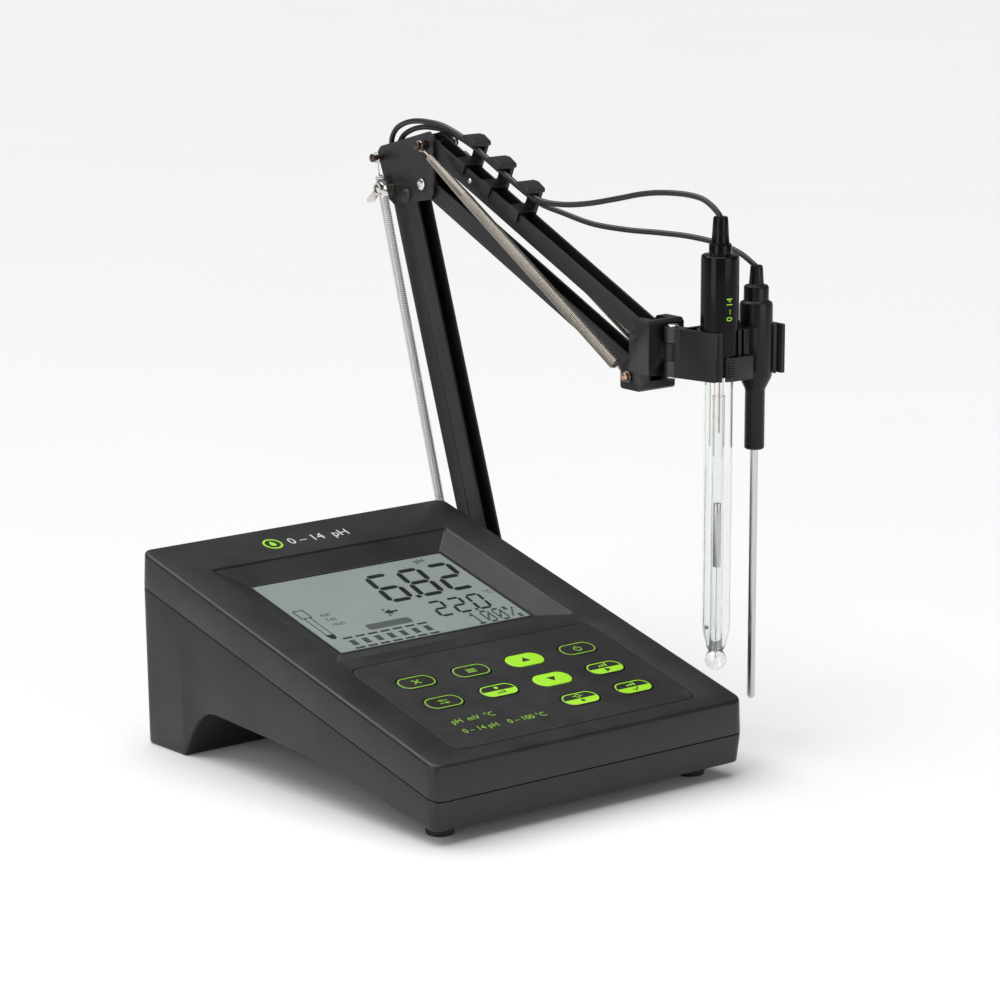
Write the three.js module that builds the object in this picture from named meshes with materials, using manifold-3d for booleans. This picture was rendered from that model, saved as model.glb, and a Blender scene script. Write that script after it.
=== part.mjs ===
// A bench pH meter with a sprung electrode arm, in millimetres, +Z up.
// Before the last step the frame is the meter's: the middle of its footprint is X 0, Y 0, the
// table is Z 0, the keys face -Y and the electrode arm stands at the +X side.
import * as THREE from "three";
import { mergeVertices } from "three/addons/utils/BufferGeometryUtils.js";
import Module from "manifold-3d";

const wasm = await Module();
wasm.setup();

// ---------------------------------------------------------------- driving dimensions
const GAP = 0.3; // between touching pieces

// The case: a wedge, low at the front, on a rear foot and two front feet.
const CASE_W = 185;
const CASE_D = 227;
const FRONT_TOP = 37.1;
const REAR_TOP = 95;
const FRONT_SEAM = 20.8;
const REAR_SEAM = 77.9;
const CORNER_R = 6;
const WALL = 2.5;
const BELLY_FRONT = 6.5;
const ARCH = { front: [-15, 21.5], top: [55, 25], foot: [80, 0] };
const BAY = { x: 72, z0: 32, z1: 70, depth: 12 }; // the connector bay in the rear

// The top panel has its own plane: u along X, v up the slope from the front edge, w out of it.
const SLOPE = Math.atan2(REAR_TOP - FRONT_TOP, CASE_D);
const DISPLAY = { v: 153, w: 142, h: 101, glassW: 117, glassH: 76, depth: 5 };
const OVERLAY = { v0: 10.8, v1: 93, w: 143, r: 6, t: 0.6, sunk: 1 };
const KEY = { w: 21, h: 11, pitchU: 32.1, pitchV: 20.7, topV: 71.5, rise: 0.5 };
const KEYS = [
  ["key_escape", 0, 0], ["key_memory_recall", 1, 0], ["key_up", 2, 0], ["key_power", 3, 0],
  ["key_setup", 0, 1], ["key_log_clear", 1, 1], ["key_down", 2, 1], ["key_range", 3, 1],
  ["key_calibrate", 2, 2], ["key_accept", 3, 2],
];

// The arm, in the vertical plane X = ARM_X. Points are [y, z].
const ARM_X = 108;
const BAR = { w: 9.5, h: 9.4, t: 1.2, hole: 2.35 };
const PIN_R = 2;
const SLOT_W = 10.2; // between the cheeks that hold the bars
const PLATE_T = 1.5;
const BASE_REAR = [94.3, 40];
const BASE_FRONT = [83, 37];
const LOWER_LEAN = THREE.MathUtils.degToRad(71.36); // from +Y up to the bars
const LOWER_LENGTH = 217.9;
const UPPER_TURN = THREE.MathUtils.degToRad(204.2); // from +Y round to the upper bars
const UPPER_LENGTH = 180.4;
const ELBOW_TOP = [137, 270.6];
const ELBOW_LOW = [140.5, 250.4];
const SPRING_AXLE = [173.4, 260.8];
const BASE_HOOK = [107.3, 41];
const CLIPS_AT = [27, 49, 73]; // along the upper bar from its elbow pivot

// The swivel under the arm, on its steel plate.
const SWIVEL_Y = 116;
const SWIVEL_R = 5;
const PLATE_SCREW = [70, 92];

// The head and the electrode holder.
const HEAD_X = 11; // half width
const HOLDER_AXIS = [108, -42.8];
const HOLDER_Z = [178.3, 201.8];
const ELECTRODE_Y = -62;
const PH_X = 120.2;
const TEMP_X = 143.6;
const PH = { tubeR: 6.9, bulbZ: 36, shoulderZ: 50, capZ0: 180, capZ1: 237.5, capR: 9.1, tipZ: 252 };
const TEMP = { rodR: 1.9, rodZ: 18, gripR: 4.8, gripZ: 141.5, bodyR: 8, bodyZ0: 174.5, bodyZ1: 213,
  tipZ: 226.5 };

// Sockets on the floor of the rear bay, and the plugs in them.
const BNC = [20, 52];
const RCA = [-12, 52];
const JACK = [-48, 50];
const CORD_R = 1.4;
const COIL = { x: 40, y: 168, r: 15, half: 5.2, z: 9.2 };
const COIL_EDGE = COIL.x + COIL.r + COIL.half + GAP + 0.2;

// ---------------------------------------------------------------- solids
function solid(geometry) {
  const flat = geometry.index ? geometry.toNonIndexed() : geometry;
  const bare = new THREE.BufferGeometry();
  bare.setAttribute("position", flat.getAttribute("position"));
  const merged = mergeVertices(bare, 1e-4);
  const mesh = new wasm.Mesh({
    numProp: 3,
    vertProperties: merged.attributes.position.array,
    triVerts: new Uint32Array(merged.index.array),
  });
  return new wasm.Manifold(mesh);
}

function geometryOf(manifold) {
  const mesh = manifold.getMesh();
  const geometry = new THREE.BufferGeometry();
  const places = Float32Array.from(mesh.vertProperties);
  geometry.setAttribute("position", new THREE.BufferAttribute(places, 3));
  geometry.setIndex(new THREE.BufferAttribute(Uint32Array.from(mesh.triVerts), 1));
  geometry.computeVertexNormals();
  return geometry;
}

function cut(body, ...tools) {
  return tools.reduce((left, tool) => left.subtract(tool), body);
}

function join(...bodies) {
  return bodies.reduce((all, body) => all.add(body));
}

function box(x0, x1, y0, y1, z0, z1) {
  const geometry = new THREE.BoxGeometry(x1 - x0, y1 - y0, z1 - z0);
  geometry.translate((x0 + x1) / 2, (y0 + y1) / 2, (z0 + z1) / 2);
  return solid(geometry);
}

// The outline's two coordinates go along the first two axes, and it is pushed along the third.
function prism(outline, depth, axes, origin, curveSegments = 4) {
  const shape = Array.isArray(outline)
    ? new THREE.Shape(outline.map(([a, b]) => new THREE.Vector2(a, b)))
    : outline;
  const geometry = new THREE.ExtrudeGeometry(shape, { depth, bevelEnabled: false, curveSegments });
  const frame = new THREE.Matrix4().makeBasis(...axes.map((a) => new THREE.Vector3(...a)));
  geometry.applyMatrix4(frame.setPosition(...origin));
  return geometry;
}

// An outline in Y and Z pushed along X, and one in X and Y pushed along Z.
function alongX(outline, x0, x1, segments) {
  return solid(prism(outline, x1 - x0, [[0, 1, 0], [0, 0, 1], [1, 0, 0]], [x0, 0, 0], segments));
}

function alongZ(outline, z0, z1, segments) {
  return solid(prism(outline, z1 - z0, [[1, 0, 0], [0, 1, 0], [0, 0, 1]], [0, 0, z0], segments));
}

// A round bar between two values on one axis, centred at the other two coordinates.
function round(axis, radius, from, to, a, b, sides = 20) {
  const geometry = new THREE.CylinderGeometry(radius, radius, to - from, sides);
  const middle = (from + to) / 2;
  if (axis === "x") geometry.rotateZ(-Math.PI / 2).translate(middle, a, b);
  if (axis === "y") geometry.translate(a, middle, b);
  if (axis === "z") geometry.rotateX(Math.PI / 2).translate(a, b, middle);
  return solid(geometry);
}

// A turned piece: pairs of [radius, height] from the axis and back to it, standing on +Z.
function turned(profile, sides = 24) {
  const points = profile.map(([r, z]) => new THREE.Vector2(r, z));
  return new THREE.LatheGeometry(points, sides).rotateX(Math.PI / 2);
}

function roundedRect(w, h, r, cx = 0, cy = 0) {
  const shape = new THREE.Shape();
  const [x, y] = [w / 2 - r, h / 2 - r];
  shape.absarc(cx + x, cy + y, r, 0, Math.PI / 2);
  shape.absarc(cx - x, cy + y, r, Math.PI / 2, Math.PI);
  shape.absarc(cx - x, cy - y, r, Math.PI, 1.5 * Math.PI);
  shape.absarc(cx + x, cy - y, r, 1.5 * Math.PI, 2 * Math.PI);
  shape.closePath();
  return shape;
}

// A slot-shaped outline: two half circles a length apart, joined by straight sides.
function stadium(length, radius) {
  const shape = new THREE.Shape();
  shape.absarc(length, 0, radius, -Math.PI / 2, Math.PI / 2);
  shape.absarc(0, 0, radius, Math.PI / 2, 1.5 * Math.PI);
  shape.closePath();
  return shape;
}

// From the panel's own u, v, w to the meter's frame.
const PANEL = new THREE.Matrix4().makeBasis(
  new THREE.Vector3(1, 0, 0),
  new THREE.Vector3(0, Math.cos(SLOPE), Math.sin(SLOPE)),
  new THREE.Vector3(0, -Math.sin(SLOPE), Math.cos(SLOPE)),
).setPosition(0, -CASE_D / 2, FRONT_TOP);

function onPanel(shape, w0, w1, segments = 3) {
  const geometry = new THREE.ExtrudeGeometry(shape, {
    depth: w1 - w0, bevelEnabled: false, curveSegments: segments,
  });
  return solid(geometry.translate(0, 0, w0).applyMatrix4(PANEL));
}

// A four-sided funnel in the panel, from one rectangle at w0 to a smaller one at w1 below it.
function funnel(v, outer, inner, w0, w1) {
  const geometry = new THREE.BoxGeometry(1, 1, 1);
  const place = geometry.getAttribute("position");
  for (let i = 0; i < place.count; i += 1) {
    const top = place.getZ(i) > 0;
    const [w, h] = top ? outer : inner;
    place.setXYZ(i, Math.sign(place.getX(i)) * w / 2, v + Math.sign(place.getY(i)) * h / 2,
      top ? w0 : w1);
  }
  return solid(geometry.applyMatrix4(PANEL));
}

// ---------------------------------------------------------------- materials
const finish = (color, roughness, metalness = 0) =>
  new THREE.MeshStandardMaterial({ color, roughness, metalness });
const CHARCOAL = finish(0x2b2b2c, 0.6);
const BLACK = finish(0x151516, 0.45);
const GREEN = finish(0x8ed01e, 0.5);
const RUBBER = finish(0x111111, 0.9);
const STEEL = finish(0xb8b8b8, 0.3, 1);
const NICKEL = finish(0xc9c6bd, 0.25, 1);
const PAINTED = finish(0x1c1c1d, 0.5, 0.2);
const LCD = finish(0x97a49c, 0.4);
const CLEAR = finish(0xdfe8e6, 0.05);
const BOARD = finish(0x1e5a35, 0.6);

// ---------------------------------------------------------------- the tree
const meter = new THREE.Group();
const part = new THREE.Group();
part.add(meter);

function add(name, geometry, material, place = [0, 0, 0], turn = [0, 0, 0]) {
  const mesh = new THREE.Mesh(geometry, material);
  mesh.name = name;
  mesh.position.set(...place);
  mesh.rotation.set(...turn);
  meter.add(mesh);
  return mesh;
}

const put = (name, body, material, place, turn) =>
  add(name, geometryOf(body), material, place, turn);

// ---------------------------------------------------------------- the case
const seamAt = (y) => FRONT_SEAM + (REAR_SEAM - FRONT_SEAM) * (y / CASE_D + 0.5);
const topAt = (y) => FRONT_TOP + (REAR_TOP - FRONT_TOP) * (y / CASE_D + 0.5);

// The underside from the front to the rear foot, raised by a wall's thickness for the hollow.
function underside(raise, end) {
  const curve = new THREE.CubicBezierCurve(
    new THREE.Vector2(ARCH.top[0] - raise * 0.2, ARCH.top[1] + raise),
    new THREE.Vector2(ARCH.top[0] + 13 + raise * 0.6, ARCH.top[1] + raise),
    new THREE.Vector2(ARCH.foot[0] - 7 + raise, ARCH.foot[1] + 13 + raise),
    new THREE.Vector2(ARCH.foot[0] + raise, ARCH.foot[1] + raise),
  );
  const front = [-CASE_D / 2 + end, BELLY_FRONT + raise];
  const arch = curve.getPoints(9).map((p) => [p.x, p.y]);
  return [front, [ARCH.front[0], ARCH.front[1] + raise], ...arch];
}

function footprint() {
  return alongZ(roundedRect(CASE_W, CASE_D, CORNER_R), -1, REAR_TOP + 1, 3);
}

function lowerCase() {
  const half = CASE_D / 2;
  const outline = [...underside(0, 0), [half, 0], [half, seamAt(half)], [-half, seamAt(-half)]];
  const inner = half - WALL;
  const hollow = [...underside(WALL, WALL), [inner, WALL], [inner, seamAt(inner) + 3],
    [-inner, seamAt(-inner) + 3]];
  const { x, z0, z1, depth } = BAY;
  const bay = box(-x, x, half - depth, half + 1, z0, z1);
  const bayWalls = box(-x - WALL, x + WALL, half - depth - WALL, half, z0 - WALL, z1 + WALL);
  const room = cut(alongX(hollow, -CASE_W / 2 + WALL, CASE_W / 2 - WALL), bayWalls);
  const plateSlot = box(57.5, CASE_W / 2 + 1, 78, 103, -1, 3.2);
  const plateWeb = box(50, CASE_W / 2 - WALL, 84, 108, 0, 3.2 + WALL);
  const screwHole = round("z", 2, 0, 12, PLATE_SCREW[0], PLATE_SCREW[1], 12);
  const face = half - depth - WALL / 2;
  const bnc = round("y", 4.9, face - 4, face + 4, BNC[0], BNC[1], 16);
  const rca = round("y", 4.3, face - 4, face + 4, RCA[0], RCA[1], 16);
  const jack = box(JACK[0] - 5.3, JACK[0] + 5.3, face - 4, face + 4, JACK[1] - 6.3, JACK[1] + 6.3);
  const shell = cut(footprint().intersect(alongX(outline, -CASE_W / 2, CASE_W / 2)), room, bay);
  return cut(join(shell, plateWeb), plateSlot, screwHole, bnc, rca, jack);
}

function upperCase() {
  const half = CASE_D / 2;
  const base = (y) => seamAt(y) + GAP;
  const outline = [[-half, base(-half)], [half, base(half)], [half, topAt(half)],
    [-half, topAt(-half)]];
  const inner = half - WALL;
  const roof = 3 / Math.cos(SLOPE);
  const hollow = [[-inner, base(-inner) - 2], [inner, base(inner) - 2],
    [inner, topAt(inner) - roof], [-inner, topAt(-inner) - roof]];
  const { v, w, h, glassW, glassH, depth } = DISPLAY;
  const dish = funnel(v, [w + 4, h + 4], [glassW + 6, glassH + 6], -1, -depth - 2.6);
  const pocket = funnel(v, [w + 5, h + 5], [glassW, glassH], 1, -depth);
  const window = onPanel(roundedRect(glassW - 1, glassH - 1, 1, 0, v), -depth - 4, 0, 2);
  const overlayH = OVERLAY.v1 - OVERLAY.v0;
  const overlayMid = (OVERLAY.v1 + OVERLAY.v0) / 2;
  const sink = onPanel(
    roundedRect(OVERLAY.w + 2 * GAP, overlayH + 2 * GAP, OVERLAY.r + GAP, 0, overlayMid),
    -OVERLAY.sunk, 1);
  const wells = KEYS.map(([, column, row]) => keyShape(column, row, 0.45, -5, 1));
  const shell = cut(footprint().intersect(alongX(outline, -CASE_W / 2, CASE_W / 2)),
    alongX(hollow, -CASE_W / 2 + WALL, CASE_W / 2 - WALL));
  return cut(join(shell, dish), pocket, window, sink, ...wells);
}

// ---------------------------------------------------------------- display and keys
function keyShape(column, row, clearance, w0, w1) {
  const u = (column - 1.5) * KEY.pitchU;
  const v = KEY.topV - row * KEY.pitchV;
  const shape = roundedRect(KEY.w + 2 * clearance, KEY.h + 2 * clearance,
    KEY.h / 2 + clearance - 0.01, u, v);
  return onPanel(shape, w0, w1, 2);
}

function displayWindow() {
  const { v, glassW, glassH, depth } = DISPLAY;
  const pane = onPanel(roundedRect(glassW - 1.8, glassH - 1.8, 1, 0, v), -depth - 2, -depth + 0.2, 2);
  const flange = onPanel(roundedRect(glassW + 4, glassH + 4, 1, 0, v), -depth - 4.2, -depth - 2.9, 2);
  const neck = onPanel(roundedRect(glassW - 1.8, glassH - 1.8, 1, 0, v), -depth - 3, -depth - 1.9, 2);
  return join(pane, neck, flange);
}

function lcdPanel() {
  const { v, glassW, glassH, depth } = DISPLAY;
  return onPanel(roundedRect(glassW + 6, glassH + 8, 1, 0, v), -depth - 7.4, -depth - 4.5, 2);
}

function keypadOverlay() {
  const { v0, v1, w, r, t, sunk } = OVERLAY;
  const base = GAP - sunk;
  const sheet = onPanel(roundedRect(w, v1 - v0, r, 0, (v0 + v1) / 2), base, base + t);
  return cut(sheet, ...KEYS.map(([, column, row]) => keyShape(column, row, 0.35, -2, 1)));
}

function switchSheet() {
  const { v0, v1, w } = OVERLAY;
  const sheet = onPanel(roundedRect(w - 8, v1 - v0 - 6, 3, 0, (v0 + v1) / 2), -6.2, -5.2, 3);
  const domes = KEYS.map(([, column, row]) => {
    const u = (column - 1.5) * KEY.pitchU;
    const dome = new THREE.CylinderGeometry(2.4, 3.4, 0.9, 8).rotateX(Math.PI / 2);
    dome.translate(u, KEY.topV - row * KEY.pitchV, -4.8).applyMatrix4(PANEL);
    return solid(dome);
  });
  return join(sheet, ...domes);
}

function mainBoard() {
  const plate = onPanel(roundedRect(168, 178, 2, 0, 99), -16.6, -15, 2);
  const posts = [[-76, 15], [76, 15], [-76, 182], [76, 182]].map(([u, v]) => {
    const hole = new THREE.CylinderGeometry(1.6, 1.6, 4, 10).rotateX(Math.PI / 2);
    return solid(hole.translate(u, v, -15.8).applyMatrix4(PANEL));
  });
  return cut(plate, ...posts);
}

// ---------------------------------------------------------------- rear sockets and plugs
const BAY_FACE = CASE_D / 2 - BAY.depth;

function alongY(profile, [x, z], sides) {
  return turned(profile, sides).rotateX(-Math.PI / 2).translate(x, 0, z);
}

function bncSocket() {
  const y = BAY_FACE + GAP;
  const profile = [[0, y - 9], [4.5, y - 9], [4.5, y], [6.6, y], [6.6, y + 1.6], [4.8, y + 1.6],
    [4.8, y + 9.5], [4.1, y + 9.5], [4.1, y + 4], [1, y + 4], [1, y + 8], [0, y + 8]];
  return alongY(profile, BNC, 20);
}

function tempSocket() {
  const y = BAY_FACE + GAP;
  const profile = [[0, y - 7], [3.9, y - 7], [3.9, y], [5.6, y], [5.6, y + 1.4], [4.1, y + 1.4],
    [4.1, y + 8], [1.7, y + 8], [1.7, y + 1], [0, y + 1]];
  return alongY(profile, RCA, 20);
}

function powerJack() {
  const [x, z] = JACK;
  const y = BAY_FACE;
  const body = box(x - 5, x + 5, y - 10, y + 1.2, z - 6, z + 6);
  const well = round("y", 2.9, y - 7, y + 2, x, z, 16);
  const tip = round("y", 0.95, y - 8, y + 0.6, x, z, 8);
  return join(cut(body, well), tip);
}

function plug(socket, bore, reach, collarR, length) {
  const y = BAY_FACE + GAP + reach;
  const end = y + length;
  const profile = [[bore, y], [collarR, y], [collarR, y + 11], [collarR - 1.6, y + 12],
    [collarR - 1.6, y + 20], [2.6, end - 6], [1.7, end], [0, end], [0, y + 8.4], [bore, y + 8.4],
    [bore, y]];
  return alongY(profile, socket, 20);
}

// ---------------------------------------------------------------- the arm
// A U-channel along +Y from its first pivot at the origin, open towards side along Z.
function channelBar(length, side) {
  const half = BAR.h / 2;
  const body = alongX(stadium(length, half), -BAR.w / 2, BAR.w / 2, 4);
  const inner = BAR.w / 2 - BAR.t;
  const floor = side * (half - BAR.t);
  const mouth = side * (half + 1);
  const z = [-floor, mouth].sort((a, b) => a - b);
  const groove = box(-inner, inner, -half - 1, length + half + 1, z[0], z[1]);
  const holes = [0, length].map((y) => round("x", BAR.hole, -BAR.w, BAR.w, y, 0, 12));
  return cut(body, groove, ...holes);
}

function pin(halfLength, shaftR, headR, headT, sides = 14) {
  const end = halfLength - headT;
  const profile = [[0, -halfLength], [headR, -halfLength], [headR, -end], [shaftR, -end],
    [shaftR, end], [headR, end], [headR, halfLength], [0, halfLength]];
  return turned(profile, sides).rotateY(Math.PI / 2);
}

function armBase() {
  const side = [[77, 25], [76, 36], [79, 42.5], [90, 46.5], [104, 46.5], [110.5, 43], [110.5, 36],
    [108, 25], [116, 25], [116, 12], [106, 12], [97, 20], [79, 20]];
  const halfW = SLOT_W / 2 + 2.2;
  const body = alongX(side, ARM_X - halfW, ARM_X + halfW);
  const slot = box(ARM_X - SLOT_W / 2, ARM_X + SLOT_W / 2, 60, 130, 29.3, 60);
  const rearSlot = box(ARM_X - SLOT_W / 2, ARM_X + SLOT_W / 2, 96.2, 130, 25, 60);
  const hub = round("z", 10, 4.6, 25, ARM_X, SWIVEL_Y, 24);
  const bore = round("z", SWIVEL_R + 0.35, 0, 20.6, ARM_X, SWIVEL_Y, 20);
  const pins = [BASE_REAR, BASE_FRONT].map(([y, z]) => round("x", BAR.hole, 80, 130, y, z, 12));
  const hooks = [-1, 1].map((s) => {
    const ends = [ARM_X + s * (halfW - 0.5), ARM_X + s * (halfW + 5.4)].sort((a, b) => a - b);
    return round("x", 1.4, ends[0], ends[1], BASE_HOOK[0], BASE_HOOK[1], 10);
  });
  return join(cut(join(body, hub), slot, rearSlot, bore, ...pins), ...hooks);
}

function basePlate() {
  const [screwX, screwY] = PLATE_SCREW;
  const tongue = alongZ([[60, 81], [101, 81], [119.5, 110], [119.5, 118], [97, 118], [94, 100],
    [60, 100]], 0.8, 2.8);
  const pad = round("z", 12, 0.8, 2.8, ARM_X, SWIVEL_Y, 28);
  const shoulder = round("z", 8, 2, 4.3, ARM_X, SWIVEL_Y, 20);
  const post = round("z", SWIVEL_R, 2, 20, ARM_X, SWIVEL_Y, 20);
  const hole = round("z", 2.1, -1, 5, screwX, screwY, 12);
  const sunk = round("z", 3.4, -1, 1.9, screwX, screwY, 14);
  return cut(join(tongue, pad, shoulder, post), hole, sunk);
}

function basePlateScrew() {
  const profile = [[0, 0.6], [3, 0.6], [3, 1.6], [1.6, 1.7], [1.6, 10], [0, 10]];
  return turned(profile, 14).translate(PLATE_SCREW[0], PLATE_SCREW[1], 0);
}

function elbowBracket() {
  const outline = [[176.7, 263.2], [174.2, 266.4], [135, 277.6], [131.4, 275.6], [131, 246.4],
    [134, 243.4], [162.5, 237.4], [167.4, 240]];
  const inner = SLOT_W / 2 + 0.1;
  const outer = inner + PLATE_T;
  const plates = [alongX(outline, ARM_X - outer, ARM_X - inner),
    alongX(outline, ARM_X + inner, ARM_X + outer)];
  const web = alongX([[143.6, 275], [152.4, 272.5], [152, 271], [143.2, 273.5]],
    ARM_X - outer, ARM_X + outer);
  const through = ([y, z], r) => round("x", r, ARM_X - 20, ARM_X + 20, y, z, 12);
  const pivots = [rearTop(), frontTop(), ELBOW_TOP, ELBOW_LOW].map((p) => through(p, BAR.hole));
  return cut(join(...plates, web), ...pivots, through(SPRING_AXLE, 1.9));
}

const along = ([y, z], turn, length) =>
  [y + length * Math.cos(turn), z + length * Math.sin(turn)];
const rearTop = () => along(BASE_REAR, LOWER_LEAN, LOWER_LENGTH);
const frontTop = () => along(BASE_FRONT, LOWER_LEAN, LOWER_LENGTH);
const headTop = () => along(ELBOW_TOP, UPPER_TURN, UPPER_LENGTH);
const headLow = () => along(ELBOW_LOW, UPPER_TURN, UPPER_LENGTH);

// A wing nut on the elbow bolt, outside the lower spring: a flange, a hub and two wings. side is
// -1 at the left and 1 at the right, and points outwards.
function wingNut(side) {
  const profile = [[PIN_R + GAP, 0], [4.7, 0], [4.7, 1.3], [3.2, 1.7], [3.2, 4.2],
    [PIN_R + GAP, 4.2], [PIN_R + GAP, 0]];
  const hub = solid(turned(profile, 18).rotateY((side * Math.PI) / 2));
  const [x0, x1] = [side * 1, side * 4.8].sort((a, b) => a - b);
  const wing = alongX([[-0.7, 2.7], [-1.3, 9.4], [0, 10.6], [1.3, 9.4], [0.7, 2.7]], x0, x1);
  return join(hub, ...[100, 225].map((degrees) => wing.rotate([degrees, 0, 0])));
}

// A spring as the closed rod that its coil fills, with a thinner hook at each end.
function springRod(from, to, radius) {
  const [a, b] = [new THREE.Vector3(...from), new THREE.Vector3(...to)];
  const length = a.distanceTo(b);
  const hook = 8;
  const profile = [[0, 2.4], [0.8, 2.4], [0.8, hook], [radius, hook + 2], [radius, length - hook - 2],
    [0.8, length - hook], [0.8, length - 2.4], [0, length - 2.4]];
  const geometry = turned(profile, 12);
  const turn = new THREE.Quaternion().setFromUnitVectors(
    new THREE.Vector3(0, 0, 1), b.clone().sub(a).normalize());
  return geometry.applyQuaternion(turn).translate(...from);
}

// A clip on the upper bar, its local Y back along the bar: a saddle over it, a post at the right,
// and a hooked roof with a pointed front that keeps the leads in.
function leadClip() {
  const w = BAR.w / 2 + GAP;
  const top = BAR.h / 2 + GAP;
  const saddle = box(-w - 1.1, w + 1.1, -3.8, 3.8, top, top + 1.3);
  const legs = [-1, 1].map((s) => box(Math.min(s * w, s * (w + 1.1)), Math.max(s * w, s * (w + 1.1)),
    -3.8, 3.8, top - 5, top + 1));
  const post = box(w - 1.4, w + 1.1, -3.8, 3.8, top + 1, top + 13);
  const roof = alongX([[-5, top + 12], [6, top + 12], [5, top + 13.4], [1.5, top + 14.6],
    [-4.4, top + 14]], -w + 0.5, w + 1.1);
  const lip = box(-w + 0.5, -w + 1.5, -3.8, 3.8, top + 10.6, top + 12.5);
  return join(saddle, ...legs, post, roof, lip);
}

function headBlock() {
  const outline = [[-38.3, 178.5], [-38.3, 203], [-36.8, 204.6], [-25.6, 204.6], [-24, 203],
    [-24, 186], [-18.6, 181], [-17.8, 178.4], [-17.8, 171], [-19, 170], [-31.4, 170], [-32.3, 171],
    [-32.3, 178.5]];
  const block = alongX(outline, ARM_X - HEAD_X, ARM_X + HEAD_X);
  const slot = alongX([[-33.6, 176], [-33.6, 206], [-10, 206], [-10, 160], [-25.6, 160],
    [-25.6, 171.2], [-29.4, 171.2]], ARM_X - SLOT_W / 2, ARM_X + SLOT_W / 2);
  const knuckle = round("z", 4.2, 186.2, 194.4, HOLDER_AXIS[0], HOLDER_AXIS[1], 20);
  const neck = box(HOLDER_AXIS[0] - 3, HOLDER_AXIS[0] + 3, -41.5, -37, 186.2, 194.4);
  const pinHole = round("z", 2.1, 180, 200, HOLDER_AXIS[0], HOLDER_AXIS[1], 12);
  const pivots = [headTop(), headLow()].map(([y, z]) => round("x", BAR.hole, 90, 130, y, z, 12));
  return cut(join(cut(block, slot), knuckle, neck), pinHole, ...pivots);
}

function headPin(stub) {
  return pin(stub, PIN_R, PIN_R + 0.9, 0.8);
}

// The holder: two hinge knuckles, a back wall, three walls, and clips that close round the bodies.
function holder() {
  const [z0, z1] = HOLDER_Z;
  const [ax, ay] = HOLDER_AXIS;
  const wall = (outline, low = z0, high = z1) => alongZ(outline, low, high);
  const knuckles = [[z0, 185.9], [194.7, z1]].map(([a, b]) => round("z", 4.2, a, b, ax, ay, 20));
  const arms = [[z0, 185.9], [194.7, z1]].map(([a, b]) =>
    wall([[ax - 3.6, ay - 1], [ax + 3, ay - 2], [ax + 6, -50.4], [ax - 2.2, -50.4]], a, b));
  const left = wall([[ax - 3.2, -47.6], [ax + 2.2, -69.8], [ax + 4.4, -69.8], [ax - 0.4, -47.6]]);
  const back = wall([[ax - 2.6, -50.4], [ax + 46.6, -50.4], [ax + 46.6, -48.2], [ax - 3, -48.2]]);
  const middle = wall([[128.6, -70], [132, -70], [132, -48.6], [128.6, -48.6]]);
  const right = wall([[152.6, -70.6], [154.6, -70.6], [154.6, -48.6], [152.6, -48.6]]);
  const jaw = wall([[129, -70.6], [129, -73], [119.6, -73], [116, -71.8], [116, -70.9],
    [121, -70.9]], z0, 189.6);
  const jawRoot = wall([[128.6, -73], [132, -73], [132, -69], [128.6, -69]], z0, 189.6);
  const clip = (x, r, from, to) => {
    const shape = new THREE.Shape();
    shape.absarc(x, ELECTRODE_Y, r + 1.6, from, to, false);
    shape.absarc(x, ELECTRODE_Y, r, to, from, true);
    shape.closePath();
    return wall(shape, z0, z1);
  };
  const phClip = clip(PH_X, PH.capR + 0.35, THREE.MathUtils.degToRad(-62), THREE.MathUtils.degToRad(236));
  const tempClip = clip(TEMP_X, 8.35, THREE.MathUtils.degToRad(-50), THREE.MathUtils.degToRad(230));
  const clear = [[PH_X, PH.capR + GAP], [TEMP_X, 8.3]].map(([x, r]) =>
    round("z", r, z0 - 1, z1 + 1, x, ELECTRODE_Y, 32));
  const pinHole = round("z", 2.1, z0 - 1, z1 + 1, ax, ay, 12);
  const body = join(...knuckles, ...arms, left, back, middle, right, jaw, jawRoot, phClip, tempClip);
  return cut(body, ...clear, pinHole);
}

function holderPin() {
  const profile = [[0, 177.3], [2.8, 177.3], [2.8, 178], [1.7, 178], [1.7, 202.1], [2.6, 202.1],
    [2.6, 203], [0, 203]];
  return turned(profile, 14).translate(HOLDER_AXIS[0], HOLDER_AXIS[1], 0);
}

// ---------------------------------------------------------------- electrodes
function phCap() {
  const { capZ0, capZ1, capR, tipZ, tubeR } = PH;
  const profile = [[tubeR + GAP, capZ0], [capR, capZ0], [capR, capZ1], [5.4, capZ1 + 1],
    [4.6, capZ1 + 4], [2.9, capZ1 + 5], [1.7, tipZ], [0, tipZ], [0, capZ0 + 23],
    [tubeR + GAP, capZ0 + 23], [tubeR + GAP, capZ0]];
  return turned(profile, 20).translate(PH_X, ELECTRODE_Y, 0);
}

function phTube() {
  const { bulbZ, shoulderZ, tubeR, capZ0 } = PH;
  const top = capZ0 + 22.6;
  const bulb = [0, 20, 40, 60, 80, 100, 125].map((degrees) => {
    const a = THREE.MathUtils.degToRad(degrees);
    return [4.9 * Math.sin(a), bulbZ + 4.9 - 4.9 * Math.cos(a)];
  });
  const profile = [...bulb, [4.2, shoulderZ - 3], [tubeR, shoulderZ], [tubeR, top],
    [0, top]];
  return turned(profile, 20).translate(PH_X, ELECTRODE_Y, 0);
}

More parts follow.
